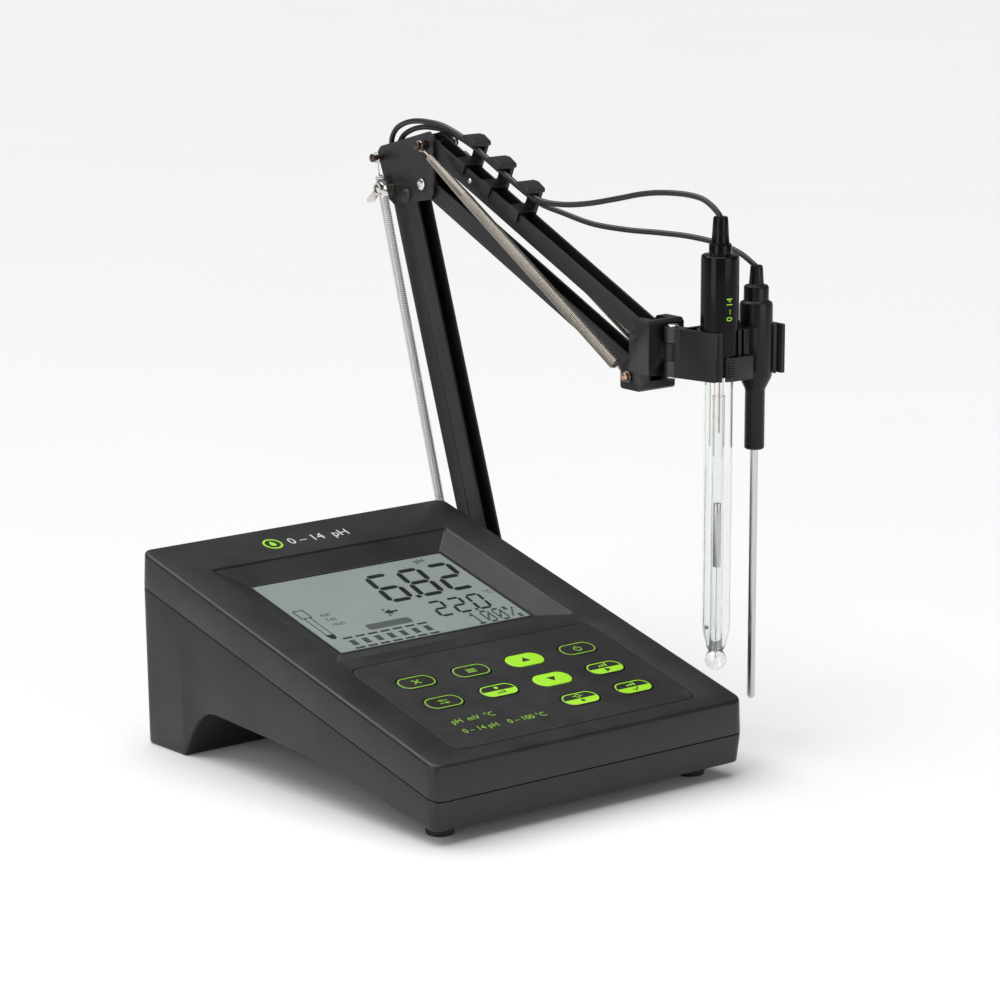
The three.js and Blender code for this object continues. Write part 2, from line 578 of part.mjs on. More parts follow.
function tempGrip() {
  const { rodR, gripR, gripZ, bodyR, bodyZ0, bodyZ1, tipZ } = TEMP;
  const profile = [[rodR + GAP, gripZ], [gripR, gripZ], [gripR, bodyZ0 - 4], [bodyR, bodyZ0 + 2.4],
    [bodyR, bodyZ1 - 1], [6, bodyZ1], [6, bodyZ1 + 7.6], [3, bodyZ1 + 8], [1.7, tipZ], [0, tipZ],
    [0, gripZ + 26], [rodR + GAP, gripZ + 26], [rodR + GAP, gripZ]];
  return turned(profile, 20).translate(TEMP_X, ELECTRODE_Y, 0);
}

function tempRod() {
  const { rodR, rodZ, gripZ } = TEMP;
  const profile = [[0, rodZ], [rodR * 0.7, rodZ + 0.3], [rodR, rodZ + 1.3], [rodR, gripZ + 25.6],
    [0, gripZ + 25.6]];
  return turned(profile, 14).translate(TEMP_X, ELECTRODE_Y, 0);
}

// ---------------------------------------------------------------- leads
// One lead along its route: a centripetal curve through the points, drawn in equal steps.
function lead(points, steps) {
  const path = new THREE.CatmullRomCurve3(
    points.map((p) => new THREE.Vector3(...p)), false, "centripetal");
  const section = new THREE.Shape();
  for (let i = 0; i < 8; i += 1) {
    const a = (i * Math.PI) / 4;
    if (i === 0) section.moveTo(CORD_R, 0);
    else section.lineTo(CORD_R * Math.cos(a), CORD_R * Math.sin(a));
  }
  section.closePath();
  return new THREE.ExtrudeGeometry(section, { steps, extrudePath: path, bevelEnabled: false });
}

// From the coil on the table, up inside the rear bar's channel and over the elbow. x is the
// lead's own place across the arm.
function climb(x) {
  const n = [Math.sin(LOWER_LEAN), -Math.cos(LOWER_LEAN)];
  const inChannel = (t) => {
    const [y, z] = along(BASE_REAR, LOWER_LEAN, t);
    return [x, y + 3.7 * n[0], z + 3.7 * n[1]];
  };
  return [4, 20, 80, 150, 205, 217].map(inChannel);
}

// A point over the upper bar: a distance along it from its elbow pivot, and a height above it.
function overUpperBar(x, distance, height) {
  const [y, z] = along(ELBOW_TOP, UPPER_TURN, distance);
  return [x, y + height * Math.sin(UPPER_TURN), z - height * Math.cos(UPPER_TURN)];
}

function phRoute() {
  const x = ARM_X - 1.5;
  return [[COIL_EDGE, COIL.y - 11, 1.6], [68, 158, 1.6], [77, 155.6, 1.6], [88, 149, 1.6],
    [99, 141.4, 2], [104.6, 136, 6], [x, 132.8, 14], [x, 131.6, 22], [x, 126.8, 28],
    [x, 118, 28.8], [x, 110, 28.4], [x, 104.2, 30.4], [x, 100, 35], ...climb(x),
    [x, 169.8, 258.4], [x, 170.8, 264], [x, 171.4, 269.5], [x, 168, 275], [x, 160.5, 279],
    [x, 151.5, 281], [x, 141, 281.4], [x, 129, 280.6], overUpperBar(x, 25, 15.3), overUpperBar(x, 38, 15),
    overUpperBar(x, 51, 14.9), overUpperBar(x, 62, 14.9), overUpperBar(x + 0.2, 72, 14.8),
    overUpperBar(x + 0.9, 84, 16.4), [x + 2.6, 40, 250.7], [x + 4.6, 24, 252.7], [x + 6.8, 5, 256.9],
    [x + 8.6, -12, 261], [x + 10.2, -26, 263], [x + 12.2, -42, 263.4], [PH_X - 1, -52, 262],
    [PH_X - 0.2, -59.4, 257.6], [PH_X, ELECTRODE_Y, PH.tipZ + 2.6],
    [PH_X, ELECTRODE_Y, PH.tipZ + GAP + 0.1]];
}

function temperatureRoute() {
  const x = ARM_X + 1.5;
  return [[COIL_EDGE, COIL.y - 5.6, 6.4], [68, 165, 3.6], [79, 164, 1.6], [93, 157, 1.6],
    [103.6, 146, 1.8], [108.4, 138.6, 5.6], [x, 134, 13], [x, 132, 21.6], [x, 127.2, 28],
    [x, 118.4, 28.8], [x, 110.4, 28.4], [x, 104.4, 30.2], [x, 100, 35.2], ...climb(x),
    [x, 169.6, 258], [x, 169.8, 263.4], [x, 169, 267.6], [x, 165.4, 272], [x, 159, 275.4],
    [x, 151, 277.6], [x, 141, 278.4], [x, 129, 277.6], overUpperBar(x, 25, 12.7), overUpperBar(x, 38, 12.4),
    overUpperBar(x, 51, 12.3), overUpperBar(x, 62, 12.3), overUpperBar(x + 0.1, 70, 12.4),
    overUpperBar(x + 0.9, 82, 12.9), [x + 4.4, 44, 245.4], [x + 8.6, 28, 241.8],
    [x + 14, 8, 240.6], [x + 19, -10, 240.8], [x + 24, -26, 240.4], [x + 29, -42, 238.2],
    [TEMP_X - 2, -53, 234.6], [TEMP_X - 0.4, -60, 230.4], [TEMP_X, ELECTRODE_Y, TEMP.tipZ + 2.4],
    [TEMP_X, ELECTRODE_Y, TEMP.tipZ + GAP + 0.1]];
}

function plugEnd([x, z], reach, length) {
  return [x, BAY_FACE + GAP + reach + length + GAP, z];
}

function leadToCoil(start, last, sag) {
  const [x, y, z] = start;
  return [[x, y + 0.1, z], [x, y + 4, z], [x + 1, y + 9, z - sag * 0.25], [x + 4, y + 13, z - sag],
    ...last];
}

function coil() {
  const { r, half, z } = COIL;
  const profile = [[r - half, 0], [r + half - 1, 0], [r + half, 1], [r + half, z - 1],
    [r + half - 1, z], [r - half, z], [r - half, 0]];
  return turned(profile, 28).translate(COIL.x, COIL.y, 0.02);
}

// ---------------------------------------------------------------- assembly
put("lower_case", lowerCase(), CHARCOAL);
put("upper_case", upperCase(), CHARCOAL);
put("display_window", displayWindow(), CLEAR);
put("lcd_panel", lcdPanel(), LCD);
put("keypad_overlay", keypadOverlay(), CHARCOAL);
put("switch_sheet", switchSheet(), RUBBER);
put("main_board", mainBoard(), BOARD);
for (const [name, column, row] of KEYS) {
  put(name, keyShape(column, row, 0, -3.6, -OVERLAY.sunk + OVERLAY.t + KEY.rise), GREEN);
}
const FOOT = [[0, 0], [6, 0], [6.6, 0.6], [6.6, 3], [6, BELLY_FRONT + 0.5],
  [0, BELLY_FRONT + 0.5]];
add("foot_front_left", turned(FOOT, 24), RUBBER, [-75, -95, 0]);
add("foot_front_right", turned(FOOT, 24), RUBBER, [75, -95, 0]);
add("bnc_socket", bncSocket(), NICKEL);
add("temperature_socket", tempSocket(), NICKEL);
put("power_jack", powerJack(), BLACK);
add("ph_plug", plug(BNC, 5.2, 2.2, 7.2, 30), NICKEL);
add("temperature_plug", plug(RCA, 4.5, 2, 5.6, 28), BLACK);

put("base_plate", basePlate(), STEEL);
add("base_plate_screw", basePlateScrew(), STEEL);
put("arm_base", armBase(), BLACK);
add("base_rear_pin", pin(8.2, PIN_R, PIN_R + 1, 0.6), STEEL, [ARM_X, ...BASE_REAR]);
put("lower_rear_bar", channelBar(LOWER_LENGTH, -1), PAINTED, [ARM_X, ...BASE_REAR],
  [LOWER_LEAN, 0, 0]);
put("lower_front_bar", channelBar(LOWER_LENGTH, 1), PAINTED, [ARM_X, ...BASE_FRONT],
  [LOWER_LEAN, 0, 0]);
put("elbow_bracket", elbowBracket(), PAINTED);
add("elbow_bolt", pin(16.8, PIN_R, PIN_R - 0.4, 0.5), STEEL, [ARM_X, ...rearTop()]);
add("spring_axle", pin(13.4, 1.5, 2.2, 0.9, 12), STEEL, [ARM_X, ...SPRING_AXLE]);
add("upper_spring_pin", pin(13.4, PIN_R, PIN_R + 0.6, 0.9), STEEL, [ARM_X, ...ELBOW_TOP]);
add("elbow_lower_pin", pin(7.8, PIN_R, PIN_R + 0.9, 0.8), STEEL, [ARM_X, ...ELBOW_LOW]);
for (const [side, name] of [[-1, "left"], [1, "right"]]) {
  const x = ARM_X + side * 13;
  put(`wing_nut_${name}`, wingNut(side), NICKEL, [x, ...rearTop()]);
  const low = ARM_X + side * 10;
  add(`lower_spring_${name}`, springRod([low, ...BASE_HOOK], [low, ...SPRING_AXLE], 2.6), NICKEL);
  const high = ARM_X + side * 10.8;
  const end = ARM_X + side * 12.4;
  add(`upper_spring_${name}`, springRod([high, ...ELBOW_TOP], [end, ...headLow()], 3), NICKEL);
}
put("upper_top_bar", channelBar(UPPER_LENGTH, -1), PAINTED, [ARM_X, ...ELBOW_TOP],
  [UPPER_TURN, 0, 0]);
put("upper_bottom_bar", channelBar(UPPER_LENGTH, -1), PAINTED, [ARM_X, ...ELBOW_LOW],
  [UPPER_TURN, 0, 0]);
CLIPS_AT.forEach((distance, index) => {
  const turn = UPPER_TURN - Math.PI;
  put(`lead_clip_${index + 1}`, leadClip(), BLACK, [ARM_X, ...along(ELBOW_TOP, UPPER_TURN, distance)],
    [turn, 0, 0]);
});
put("head_block", headBlock(), BLACK);
add("head_top_pin", headPin(HEAD_X + 1.2), STEEL, [ARM_X, ...headTop()]);
add("head_spring_pin", pin(14.9, PIN_R, PIN_R + 0.6, 0.9), STEEL, [ARM_X, ...headLow()]);
put("electrode_holder", holder(), BLACK);
add("holder_pin", holderPin(), STEEL);
add("ph_cap", phCap(), BLACK);
add("ph_tube", phTube(), CLEAR);
add("temperature_grip", tempGrip(), BLACK);
add("temperature_rod", tempRod(), STEEL);

const phStart = plugEnd(BNC, 2.2, 30);
const tempStart = plugEnd(RCA, 2, 28);
add("ph_lead_rear", lead(leadToCoil(phStart, [[30, 167, 22], [40, 163, 11.5],
  [COIL.x + 11, COIL.y - 6, COIL.z + 1.5]], 8), 16), RUBBER);
add("temperature_lead_rear", lead(leadToCoil(tempStart, [[-4, 158, 24], [8, 154, 13],
  [COIL.x - 21, COIL.y - 16.5, 6.5]], 8), 16), RUBBER);
add("lead_coil", coil(), RUBBER);
add("ph_lead", lead(phRoute(), 60), RUBBER);
add("temperature_lead", lead(temperatureRoute(), 60), RUBBER);

// The part's origin is the middle of the base of everything but the leads and their plugs.
const LOOSE = new Set(["ph_lead", "temperature_lead", "lead_coil", "ph_lead_rear",
  "temperature_lead_rear", "ph_plug", "temperature_plug"]);
const bounds = new THREE.Box3();
part.updateMatrixWorld(true);
meter.children.forEach((mesh) => {
  if (!LOOSE.has(mesh.name)) bounds.expandByObject(mesh, true);
});
const centre = bounds.getCenter(new THREE.Vector3());
meter.position.set(-centre.x, -centre.y, -bounds.min.z);

export default part;
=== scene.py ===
import math

import bmesh
import bpy
from mathutils import Matrix, Vector


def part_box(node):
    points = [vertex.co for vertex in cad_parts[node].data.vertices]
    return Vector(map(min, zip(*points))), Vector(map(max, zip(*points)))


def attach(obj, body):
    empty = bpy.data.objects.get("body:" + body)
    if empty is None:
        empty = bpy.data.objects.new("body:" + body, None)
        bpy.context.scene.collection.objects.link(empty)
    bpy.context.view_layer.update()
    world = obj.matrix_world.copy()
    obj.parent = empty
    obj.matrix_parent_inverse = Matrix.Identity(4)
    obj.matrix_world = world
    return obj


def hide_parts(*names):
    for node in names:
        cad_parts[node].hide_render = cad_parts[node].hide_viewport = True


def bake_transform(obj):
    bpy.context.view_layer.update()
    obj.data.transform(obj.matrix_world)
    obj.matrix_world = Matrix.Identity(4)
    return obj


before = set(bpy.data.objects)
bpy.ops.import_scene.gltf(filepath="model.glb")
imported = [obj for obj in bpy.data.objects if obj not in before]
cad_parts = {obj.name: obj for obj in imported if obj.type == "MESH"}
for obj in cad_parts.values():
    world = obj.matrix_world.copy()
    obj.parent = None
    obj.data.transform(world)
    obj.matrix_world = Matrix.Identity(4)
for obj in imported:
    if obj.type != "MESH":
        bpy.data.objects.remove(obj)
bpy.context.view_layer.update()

MM = 0.001
LOW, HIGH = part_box("lower_case")
MIDDLE = Vector(((LOW.x + HIGH.x) / 2, (LOW.y + HIGH.y) / 2, 0.0))
CASE_W = round((HIGH.x - LOW.x) / MM, 2)
CASE_D = round((HIGH.y - LOW.y) / MM, 2)


def at(x, y, z):
    return MIDDLE + Vector((x, y, z)) * MM


# ---------------------------------------------------------------- the CAD's own numbers
HALF_W, HALF_D = CASE_W / 2, CASE_D / 2
FRONT_TOP, REAR_TOP = 37.1, 95.0
FRONT_SEAM, REAR_SEAM = 20.8, 77.9
SLOPE = math.atan2(REAR_TOP - FRONT_TOP, CASE_D)
COS, SIN = math.cos(SLOPE), math.sin(SLOPE)
GLASS_V, GLASS_W, GLASS_H, GLASS_DEPTH = 153.0, 117.0, 76.0, 5.0
WELL_W, WELL_H = 142.0, 101.0
OVERLAY = {"v0": 10.8, "v1": 93.0, "w": 143.0, "r": 6.0, "low": -0.7, "high": -0.1}
ARM_X = 108.0
BASE_REAR, BASE_FRONT = (94.3, 40.0), (83.0, 37.0)
LOWER_LEAN, LOWER_LENGTH = math.radians(71.36), 217.9
UPPER_TURN, UPPER_LENGTH = math.radians(204.2), 180.4
ELBOW_TOP, ELBOW_LOW = (137.0, 270.6), (140.5, 250.4)
SPRING_AXLE, BASE_HOOK = (173.4, 260.8), (107.3, 41.0)
ELECTRODE_Y, PH_X, TEMP_X = -62.0, 120.2, 143.6
PH_TIP, TEMP_TIP = 252.0, 226.5
HOLDER_AXIS = (108.0, -42.8)
BAY_FACE = HALF_D - 12.0
BNC, RCA, JACK = (20.0, 52.0), (-12.0, 52.0), (-48.0, 50.0)
CORD_R = 1.4
COIL_X, COIL_Y = 40.0, 168.0


def along(start, turn, distance):
    return (start[0] + distance * math.cos(turn), start[1] + distance * math.sin(turn))


REAR_TOP_PIN = along(BASE_REAR, LOWER_LEAN, LOWER_LENGTH)
FRONT_TOP_PIN = along(BASE_FRONT, LOWER_LEAN, LOWER_LENGTH)
HEAD_TOP_PIN = along(ELBOW_TOP, UPPER_TURN, UPPER_LENGTH)
HEAD_LOW_PIN = along(ELBOW_LOW, UPPER_TURN, UPPER_LENGTH)


def panel(u, v, w=0.0):
    return (u, -HALF_D + v * COS - w * SIN, FRONT_TOP + v * SIN + w * COS)


# ---------------------------------------------------------------- the camera
CAMERA_AZIMUTH, CAMERA_ELEVATION = math.radians(39.3), math.radians(12.4)
CAMERA_AWAY = 1891.3
CAMERA_TARGET = (22.8, -17.8, 125.5)


def make_camera():
    look = Vector((
        math.sin(CAMERA_AZIMUTH) * math.cos(CAMERA_ELEVATION),
        math.cos(CAMERA_AZIMUTH) * math.cos(CAMERA_ELEVATION),
        -math.sin(CAMERA_ELEVATION),
    ))
    data = bpy.data.cameras.new("camera")
    data.lens, data.sensor_width = 145.3, 36.0
    data.clip_start, data.clip_end = 0.05, 60.0
    camera = bpy.data.objects.new("camera", data)
    camera.location = at(*CAMERA_TARGET) - look * CAMERA_AWAY * MM
    camera.rotation_euler = look.to_track_quat("-Z", "Y").to_euler()
    bpy.context.scene.collection.objects.link(camera)
    bpy.context.scene.camera = camera


make_camera()


# ---------------------------------------------------------------- materials
def shader(name, color, roughness, metallic=0.0, grain=0.0, scale=3000.0, tint=0.12,
           rough_vary=0.08, stretch=(1, 1, 1), detail=4.0, wear=0.0, wear_color=(1, 1, 1),
           **sockets):
    """Noise varies the colour and roughness and raises the grain; wear lightens the edges."""
    material = bpy.data.materials.new(name)
    material.use_nodes = True
    nodes, links = material.node_tree.nodes, material.node_tree.links
    surface = nodes["Principled BSDF"]
    place = nodes.new("ShaderNodeTexCoord")
    mapping = nodes.new("ShaderNodeMapping")
    mapping.inputs["Scale"].default_value = stretch
    links.new(place.outputs["Object"], mapping.inputs["Vector"])
    fine = nodes.new("ShaderNodeTexNoise")
    fine.inputs["Scale"].default_value = scale
    fine.inputs["Detail"].default_value = detail
    links.new(mapping.outputs["Vector"], fine.inputs["Vector"])
    broad = nodes.new("ShaderNodeTexNoise")
    broad.inputs["Scale"].default_value = scale / 60
    broad.inputs["Detail"].default_value = 5.0
    links.new(mapping.outputs["Vector"], broad.inputs["Vector"])
    both = nodes.new("ShaderNodeMath")
    both.operation = "MULTIPLY_ADD"
    both.inputs[1].default_value = 0.5
    links.new(fine.outputs["Fac"], both.inputs[0])
    half = nodes.new("ShaderNodeMath")
    half.operation = "MULTIPLY"
    half.inputs[1].default_value = 0.5
    links.new(broad.outputs["Fac"], half.inputs[0])
    links.new(half.outputs[0], both.inputs[2])
    ramp = nodes.new("ShaderNodeValToRGB")
    ramp.color_ramp.elements[0].position = 0.32
    ramp.color_ramp.elements[1].position = 0.68
    ramp.color_ramp.elements[0].color = tuple(c * (1 - tint) for c in color) + (1,)
    ramp.color_ramp.elements[1].color = tuple(min(1, c * (1 + tint)) for c in color) + (1,)
    links.new(both.outputs[0], ramp.inputs["Fac"])
    out = ramp.outputs["Color"]
    if wear:
        geometry = nodes.new("ShaderNodeNewGeometry")
        edge = nodes.new("ShaderNodeMapRange")
        edge.inputs["From Min"].default_value = 0.53
        edge.inputs["From Max"].default_value = 0.66
        edge.inputs["To Max"].default_value = wear
        links.new(geometry.outputs["Pointiness"], edge.inputs["Value"])
        mix = nodes.new("ShaderNodeMix")
        mix.data_type = "RGBA"
        mix.inputs["B"].default_value = tuple(wear_color) + (1,)
        links.new(edge.outputs["Result"], mix.inputs["Factor"])
        links.new(out, mix.inputs["A"])
        out = mix.outputs["Result"]
    links.new(out, surface.inputs["Base Color"])
    rough = nodes.new("ShaderNodeMapRange")
    rough.inputs["From Min"].default_value = 0.3
    rough.inputs["From Max"].default_value = 0.7
    rough.inputs["To Min"].default_value = max(0.02, roughness - rough_vary)
    rough.inputs["To Max"].default_value = min(1.0, roughness + rough_vary)
    links.new(broad.outputs["Fac"], rough.inputs["Value"])
    links.new(rough.outputs["Result"], surface.inputs["Roughness"])
    if grain:
        bump = nodes.new("ShaderNodeBump")
        bump.inputs["Strength"].default_value = grain
        bump.inputs["Distance"].default_value = 0.0001
        links.new(fine.outputs["Fac"], bump.inputs["Height"])
        links.new(bump.outputs["Normal"], surface.inputs["Normal"])
    surface.inputs["Metallic"].default_value = metallic
    for key, value in sockets.items():
        surface.inputs[key.replace("_", " ")].default_value = value
    return material


CASE = shader("case", (0.0098, 0.0099, 0.0102), 0.38, grain=0.5, scale=2600, tint=0.1,
              wear=0.35, wear_color=(0.12, 0.12, 0.12), Specular_IOR_Level=0.42)
BEZEL = shader("bezel", (0.0105, 0.0105, 0.011), 0.4, grain=0.3, scale=2600)
FILM = shader("overlay film", (0.0058, 0.0058, 0.0061), 0.42, grain=0.35, scale=5200, tint=0.08)
KEY_DARK = shader("dark key", (0.008, 0.009, 0.0075), 0.34, grain=0.2, scale=4200)
LIME = shader("lime print", (0.33, 0.72, 0.012), 0.42, grain=0.15, scale=4200, tint=0.06)
LIME_SOFT = shader("lime outline", (0.22, 0.47, 0.02), 0.45, grain=0.15, scale=4200, tint=0.08)
WHITE_INK = shader("white print", (0.62, 0.63, 0.62), 0.5, grain=0.1, scale=4200, tint=0.05)
INK = shader("dark print", (0.006, 0.007, 0.006), 0.5, grain=0.1, scale=4200, tint=0.2)
LCD = shader("display glass", (0.285, 0.335, 0.31), 0.45, grain=0.05, scale=900, tint=0.05,
             Specular_IOR_Level=0.15)
SEGMENT = shader("display figure", (0.012, 0.014, 0.013), 0.5, scale=4000, tint=0.2,
                 Specular_IOR_Level=0.1)
GHOST = shader("display faint figure", (0.08, 0.095, 0.09), 0.4, scale=4000, tint=0.1)
WINDOW = shader("window", (0.02, 0.022, 0.021), 0.06, scale=300, tint=0.02, rough_vary=0.02,
                Alpha=0.05)
RUBBER = shader("rubber", (0.012, 0.012, 0.012), 0.75, grain=0.4, scale=1800, tint=0.2)
BOARD = shader("circuit board", (0.012, 0.1, 0.035), 0.45, grain=0.3, scale=700, tint=0.25)
PAINT = shader("powder coat", (0.0072, 0.0073, 0.0076), 0.42, metallic=0.0, grain=0.6, scale=1700,
               wear=0.45, wear_color=(0.13, 0.13, 0.13), Specular_IOR_Level=0.4)
PAINT_DARK = shader("powder coat inside", (0.009, 0.009, 0.0095), 0.45, grain=0.6, scale=1700)
MOULDED = shader("moulded black", (0.0066, 0.0066, 0.0069), 0.36, grain=0.35, scale=2300,
                 wear=0.35, wear_color=(0.11, 0.11, 0.11), Specular_IOR_Level=0.28)
GLOSS = shader("gloss black", (0.0042, 0.0042, 0.0045), 0.13, grain=0.05, scale=900, tint=0.1,
               rough_vary=0.03, Specular_IOR_Level=0.13)
SATIN = shader("satin black", (0.0068, 0.0068, 0.0071), 0.3, grain=0.2, scale=2100,
               Specular_IOR_Level=0.25)
SHEATH = shader("lead sheath", (0.0145, 0.0145, 0.0152), 0.34, grain=0.25, scale=1500, tint=0.15)
STEEL = shader("brushed steel", (0.56, 0.56, 0.57), 0.26, 1.0, grain=0.35, scale=2600,
               stretch=(1, 1, 0.06), rough_vary=0.06)
BRIGHT = shader("bright nickel", (0.72, 0.7, 0.66), 0.17, 1.0, grain=0.12, scale=1500,
                rough_vary=0.05)
PALE_WIRE = shader("zinc wire", (0.74, 0.74, 0.72), 0.3, 1.0, grain=0.2, scale=2200)
WARM_WIRE = shader("satin wire", (0.4, 0.365, 0.325), 0.36, 1.0, grain=0.25, scale=2200, tint=0.2)
BROWN = shader("browned steel", (0.1, 0.06, 0.045), 0.38, 0.8, grain=0.3, scale=1800, tint=0.3)
COPPER = shader("coppery steel", (0.5, 0.33, 0.24), 0.3, 1.0, grain=0.2, scale=1800, tint=0.2)
SILVER = shader("silver wire", (0.6, 0.58, 0.55), 0.3, 1.0, grain=0.2, scale=3000, tint=0.2)
GLASS = shader("glass", (0.96, 0.975, 0.97), 0.03, scale=200, tint=0.01, rough_vary=0.01,
               Transmission_Weight=1.0, IOR=1.46)
FILL = shader("reference fill", (0.83, 0.86, 0.85), 0.06, scale=200, tint=0.02, rough_vary=0.02,
              Transmission_Weight=1.0, IOR=1.33)
CERAMIC = shader("ceramic", (0.62, 0.6, 0.55), 0.6, grain=0.3, scale=2400)


# ---------------------------------------------------------------- mesh helpers
def place(name, verts, faces, material, body=None, nodes=(), slot=None, bevel=0.0, angle=32,
          segments=2, convert=True, solid=True):
    """Makes a piece from vertices in the meter's millimetres, and hangs it on its body."""
    mesh = bpy.data.meshes.new(name)
    mesh.from_pydata([at(*v) for v in verts] if convert else verts, [], faces)
    build = bmesh.new()
    build.from_mesh(mesh)
    bmesh.ops.remove_doubles(build, verts=build.verts, dist=2e-6)
    bmesh.ops.dissolve_degenerate(build, edges=build.edges, dist=1e-7)
    if solid:
        bmesh.ops.recalc_face_normals(build, faces=build.faces)
    build.to_mesh(mesh)
    build.free()
    mesh.shade_smooth()
    mesh.set_sharp_from_angle(angle=math.radians(angle))
    mesh.materials.append(material)
    piece = bpy.data.objects.new(name, mesh)
    bpy.context.scene.collection.objects.link(piece)
    if bevel:
        round_edges(piece, bevel, segments, angle)
    if nodes:
        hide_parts(*nodes)
    if body:
        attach(piece, body)
    return piece


def round_edges(piece, width, segments, angle):
    bevel = piece.modifiers.new("edges", "BEVEL")
    bevel.width, bevel.segments = width * MM, segments
    bevel.limit_method, bevel.angle_limit = "ANGLE", math.radians(angle)
    bevel.harden_normals = True
    bevel.miter_outer = "MITER_ARC"


def combined(*parts):
    verts, faces = [], []
    for more_verts, more_faces in parts:
        faces += [[i + len(verts) for i in face] for face in more_faces]
        verts += more_verts
    return verts, faces


def turned(profile, origin=(0, 0, 0), axis="z", sides=48):
    """A lathe: pairs of radius and distance along the axis."""
    verts, faces = [], []
    for radius, height in profile:
        for k in range(sides):
            a = 2 * math.pi * k / sides
            c, s = radius * math.cos(a), radius * math.sin(a)
            p = {"z": (c, s, height), "x": (height, c, s), "y": (s, height, c)}[axis]
            verts.append(tuple(o + q for o, q in zip(origin, p)))
    for i in range(len(profile) - 1):
        for k in range(sides):
            n = (k + 1) % sides
            faces.append([i * sides + k, i * sides + n, (i + 1) * sides + n, (i + 1) * sides + k])
    return verts, faces


def pushed(outline, axis, low, high):
    """A prism: the outline's pairs are the other two axes in order."""
    n = len(outline)
    verts = []
    for level in (low, high):
        for a, b in outline:
            verts.append({"x": (level, a, b), "y": (a, level, b), "z": (a, b, level)}[axis])
    faces = [list(range(n))[::-1], list(range(n, 2 * n))]
    faces += [[i, (i + 1) % n, (i + 1) % n + n, i + n] for i in range(n)]
    return verts, faces


def on_panel(outline, w0, w1):
    """A prism on the sloping panel, from an outline in u and v."""
    n = len(outline)
    verts = [panel(u, v, w) for w in (w0, w1) for u, v in outline]
    faces = [list(range(n))[::-1], list(range(n, 2 * n))]
    faces += [[i, (i + 1) % n, (i + 1) % n + n, i + n] for i in range(n)]
    return verts, faces


def band(outer, inner, w0, w1):
    """A closed band on the panel between two outlines with as many points."""
    n = len(outer)
    verts = [panel(u, v, w) for w in (w0, w1) for loop in (outer, inner) for u, v in loop]
    faces = []
    for i in range(n):
        j = (i + 1) % n
        a, b, c, d = 0, n, 2 * n, 3 * n
        faces += [[a + i, a + j, b + j, b + i], [c + i, d + i, d + j, c + j],
                  [a + i, c + i, c + j, a + j], [b + i, b + j, d + j, d + i]]
    return verts, faces


def rounded(w, h, r, u=0.0, v=0.0, steps=8):
    """The outline of a rounded rectangle, the same way round each time."""
    points = []
    for corner, (sx, sy) in enumerate([(1, 1), (-1, 1), (-1, -1), (1, -1)]):
        for k in range(steps + 1):
            a = math.pi / 2 * (corner + k / steps)
            points.append((u + sx * (w / 2 - r) + r * math.cos(a),
                           v + sy * (h / 2 - r) + r * math.sin(a)))
    return points


def tube(points, radius, sides=10):
    """A tube along points in metres, with closed ends; its rings are centred on the points."""
    verts, faces = [], []
    ahead = (points[1] - points[0]).normalized()
    across = ahead.orthogonal().normalized()
    for i, p in enumerate(points):
        here = (points[min(i + 1, len(points) - 1)] - points[max(i - 1, 0)]).normalized()
        across = (across - here * across.dot(here)).normalized()
        up = here.cross(across)
        for k in range(sides):
            a = 2 * math.pi * k / sides
            verts.append(p + (across * math.cos(a) + up * math.sin(a)) * radius)
    for i in range(len(points) - 1):
        for k in range(sides):
            n = (k + 1) % sides
            faces.append([i * sides + k, i * sides + n, (i + 1) * sides + n, (i + 1) * sides + k])
    last = (len(points) - 1) * sides
    faces += [list(range(sides))[::-1], [last + k for k in range(sides)]]
    return verts, faces


def refined(node, material, body, bevel=0.3, angle=40, segments=2, extra=(), name=None):
    """A finer copy of a CAD node: its flat faces made whole again and its edges rounded."""
    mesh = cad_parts[node].data.copy()
    mesh.materials.clear()
    mesh.materials.append(material)
    build = bmesh.new()
    build.from_mesh(mesh)
    for verts, faces in extra:
        made = [build.verts.new(at(*v)) for v in verts]
        for face in faces:
            build.faces.new([made[i] for i in face])
    bmesh.ops.remove_doubles(build, verts=build.verts, dist=2e-6)
    bmesh.ops.dissolve_limit(build, angle_limit=math.radians(1.2), verts=build.verts,
                             edges=build.edges, delimit={"NORMAL"})
    bmesh.ops.recalc_face_normals(build, faces=build.faces)
    build.to_mesh(mesh)
    build.free()
    mesh.shade_smooth()
    mesh.set_sharp_from_angle(angle=math.radians(angle))
    piece = bpy.data.objects.new(name or node + "_finished", mesh)
    bpy.context.scene.collection.objects.link(piece)
    round_edges(piece, bevel, segments, angle)
    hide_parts(node)
    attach(piece, body)
    return piece


def carve(piece, cutters):
    """Takes the cutters out of a piece for good."""
    for cutter in cutters:
        modifier = piece.modifiers.new("cut", "BOOLEAN")
        modifier.operation, modifier.solver, modifier.object = "DIFFERENCE", "EXACT", cutter
        bpy.context.view_layer.update()
        carved = bpy.data.meshes.new_from_object(
            piece.evaluated_get(bpy.context.evaluated_depsgraph_get()))
        piece.modifiers.remove(modifier)
        piece.data = carved
    for cutter in cutters:
        bpy.data.objects.remove(cutter)
    piece.data.shade_smooth()
    piece.data.set_sharp_from_angle(angle=math.radians(32))


